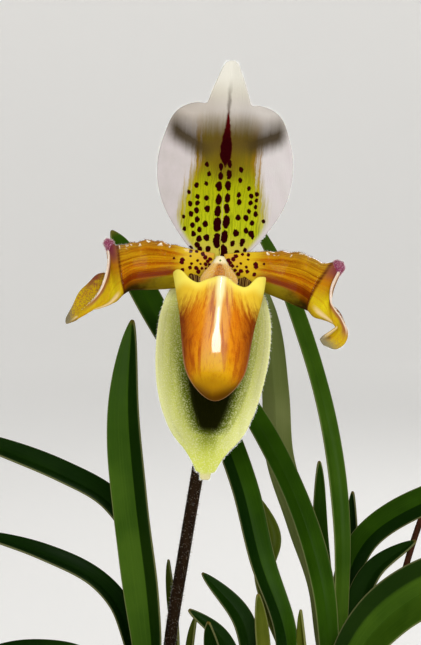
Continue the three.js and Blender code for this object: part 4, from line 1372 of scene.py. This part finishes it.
def lipFinish():
    gloss = {"Coat_IOR": 2.0, "Coat_Roughness": 0.09}
    made = Finish("lipFinish", lip, Roughness=0.4, Specular_IOR_Level=0, **gloss)
    u, v = made.sheet()
    local = made.flower()
    x, y, z = local.axes()
    side = abs(x - 0.5)
    # the veins spread out from the ridge on their way down
    across = (x - 0.5) * (1 + 0.05 * (z.atLeast(-22.0) + 14))
    veins = made.streaks(3, across * 1.15, y * 0.45, z * 0.05 + 3)
    fine = made.streaks(2, across * 3.2, y * 1.6, z * 0.6)
    sway, ragged = veins - 0.5, fine - 0.5
    # the sides are darker brown, partly their own colour and partly painted shade where they turn away
    flank = (side + sway * 3.4 + ragged * 2).step(4.2, 11)
    # the rim is yellow, deepest at the ears
    under = 32 - 32 * v**1.8
    band = under - 1.4 - 6.4 * side.step(5, 12) + sway * 9 + ragged * 6
    # the middle of the painted highlight down the ridge, which the gloss also follows
    middle = abs(x - z * 0.04 - 1.15)
    # paler behind, with a painted rim of light where the front turns into the back, and dark stripes inside
    # the back of the mouth
    facing = made.backwards()
    behind = (facing.step(-0.2, 0.4) + facing.line(-0.15, 0.2)) * 0.7
    inside = made.paint("inside", ("stripe", made.streaks(1, u * 150, v * 4).step(0.46, 0.52)))
    colour = made.paint(
        "amber",
        ("orange", (side + sway * 6).step(0.8, 5.5) * 0.9),
        ("amber", local.grain(0.22, 2.0).step(0.42, 0.62) * side.step(9, 5) * 0.5),
        ("gold", (z + side * 0.7).step(-20, -28) * side.step(8, 3) * 0.85),
        ("vein", veins.step(0.5, 0.63) * z.step(-36, -26) * 0.75),
        ("vein", fine.step(0.5, 0.7) * 0.35),
        ("amber", local.grain(3.2, 2.0).step(0.5, 0.64) * 0.35),
        ("toe", (z + side * 0.4).step(-27.5, -33) * 0.85),
        ("brown", flank * (0.96 - 0.4 * z.step(-19, -9))),
        ("under", (z - side * 0.35).step(-34, -37.6) * 0.9),
        ("yellow", band.step(6.5, -1.5) * 0.95),
        ("lemon", (under - 0.7 - 3.2 * side.step(7.4, 12)).step(2.4, -0.8) * 0.85),
        # a painted highlight, cream, down the ridge
        ("cream", middle.step(1.7, 0.5) * z.step(-12, -8) * 0.9),
        ("cream", middle.step(1.1, 0.4) * z.step(-24, -14) * 0.85),
        ("back", behind * z.step(-17, -30)),
        (inside, y.step(-10.5, -7.5) * z.step(-10, -8.6)),
    )
    wet = 0.03 + 0.94 * middle.step(4.2, 2.2) * z.step(-31, -25)
    relief = veins * 0.8 + fine * 0.35 + local.grain(1.4) * 0.35
    return made.done(colour, relief, 0.14, 0.25, Coat_Weight=wet)


def makeLip():
    pouch = bentGrid("lipPouch", lipRows())
    merge = {"threshold": 0.02 * mm}
    edit(pouch, lambda: bpy.ops.mesh.remove_doubles(**merge), bpy.ops.mesh.normals_make_consistent)
    applied(pouch, "SOLIDIFY", thickness=lip["wall"] * mm, offset=-1)
    smoothed(pouch)
    settle(pouch, "lip", lipFinish(), "lip_pouch")


column = {
    "rows": 30,
    "columns": 28,
    # share of the way down and half width
    "outline": [(0, 0.5), (0.1, 1), (0.3, 2.05), (0.48, 3.3), (0.66, 4.5), (0.84, 5.1), (1, 4.7)],
    "thickness": 1.3,
    "rod": [(0, 3.6, -0.5), (0, 0, -0.5), (0, -3, -1.2), (0.2, -6.2, -3)],
    "rodRadii": (1, 2.4),
    "down": {"length": 0.45, "radius": 0.035, "spread": 0.3},
    "yellow": (212, 160, 44), "cream": (240, 228, 186), "tan": (194, 124, 36), "brown": (146, 82, 20),
    "green": (96, 112, 30),
}


def shieldRows():
    rows = []
    for share in shares(column["rows"]):
        halfWidth = through(column["outline"], share)[0]
        row = []
        for c in spans(column["columns"]):
            arms = 1.1 * hump(abs(c), 0.76, 0.24) * smooth(share, 0.02, 0.4)
            crown = 1.2 * (1 - c * c) * hump(share, 0.05, 0.22)
            boss = 0.6 * hump(c, 0, 0.2) * hump(share, 0.62, 0.14)
            z = 1.2 - 8.6 * share + 0.4 * c * c * share
            row.append(inFlower(c * halfWidth + 0.3, -3.6 - 8 * share - arms - crown - boss, z))
        rows.append(row)
    return rows


def rodRadius(share, angle):
    return lerp(*column["rodRadii"], smooth(share, 0.4, 0.75))


def columnFinish():
    made = Finish("columnFinish", column, Roughness=0.5, Specular_IOR_Level=0)
    local = made.flower()
    x, y, z = local.axes()
    across = abs(x - 0.3)
    grain = local.grain(1.6, 3.0)
    speck = local.grain(4.5, 2.0)
    arms = (across - (1 - z) * 0.36 + (grain - 0.5) * 1.2).step(-0.45, 0.2)
    colour = made.paint(
        "tan",
        ("brown", grain.step(0.45, 0.59) * 0.7),
        ("yellow", arms),
        ("cream", speck.step(0.46, 0.54) * (0.12 + 0.4 * arms)),
        ("tan", speck.step(0.54, 0.62) * z.step(0, -2) * 0.8),
        ("cream", (z + (grain - 0.5) * 0.8).step(-1.2, 0.1) * 0.9),
        ("green", (across + abs(z - 0.2)).step(0.5, 0.2) * y.step(-3, -4)),
        ("green", y.step(-4.5, -1.0) * z.step(-1, -4) * 0.6),
    )
    return made.done(colour, grain + speck * 0.6, 0.5, 0.3)


def makeColumn():
    shield = bentSheet("columnShield", shieldRows(), column["thickness"])
    rod = tube("columnRod", [inFlower(*p) for p in column["rod"]], 16, 20, rodRadius)
    joined(shield, [rod])
    settle(shield, "column", columnFinish(), "column")
    frontOnly = {"keep": lambda point, normal: normal.y < 0.3}
    growOver(shield, "columnDown", "column", whiteDown, column["down"], 900, 51, **frontOnly)


makeLip()
makeColumn()
print("lip and column ready")
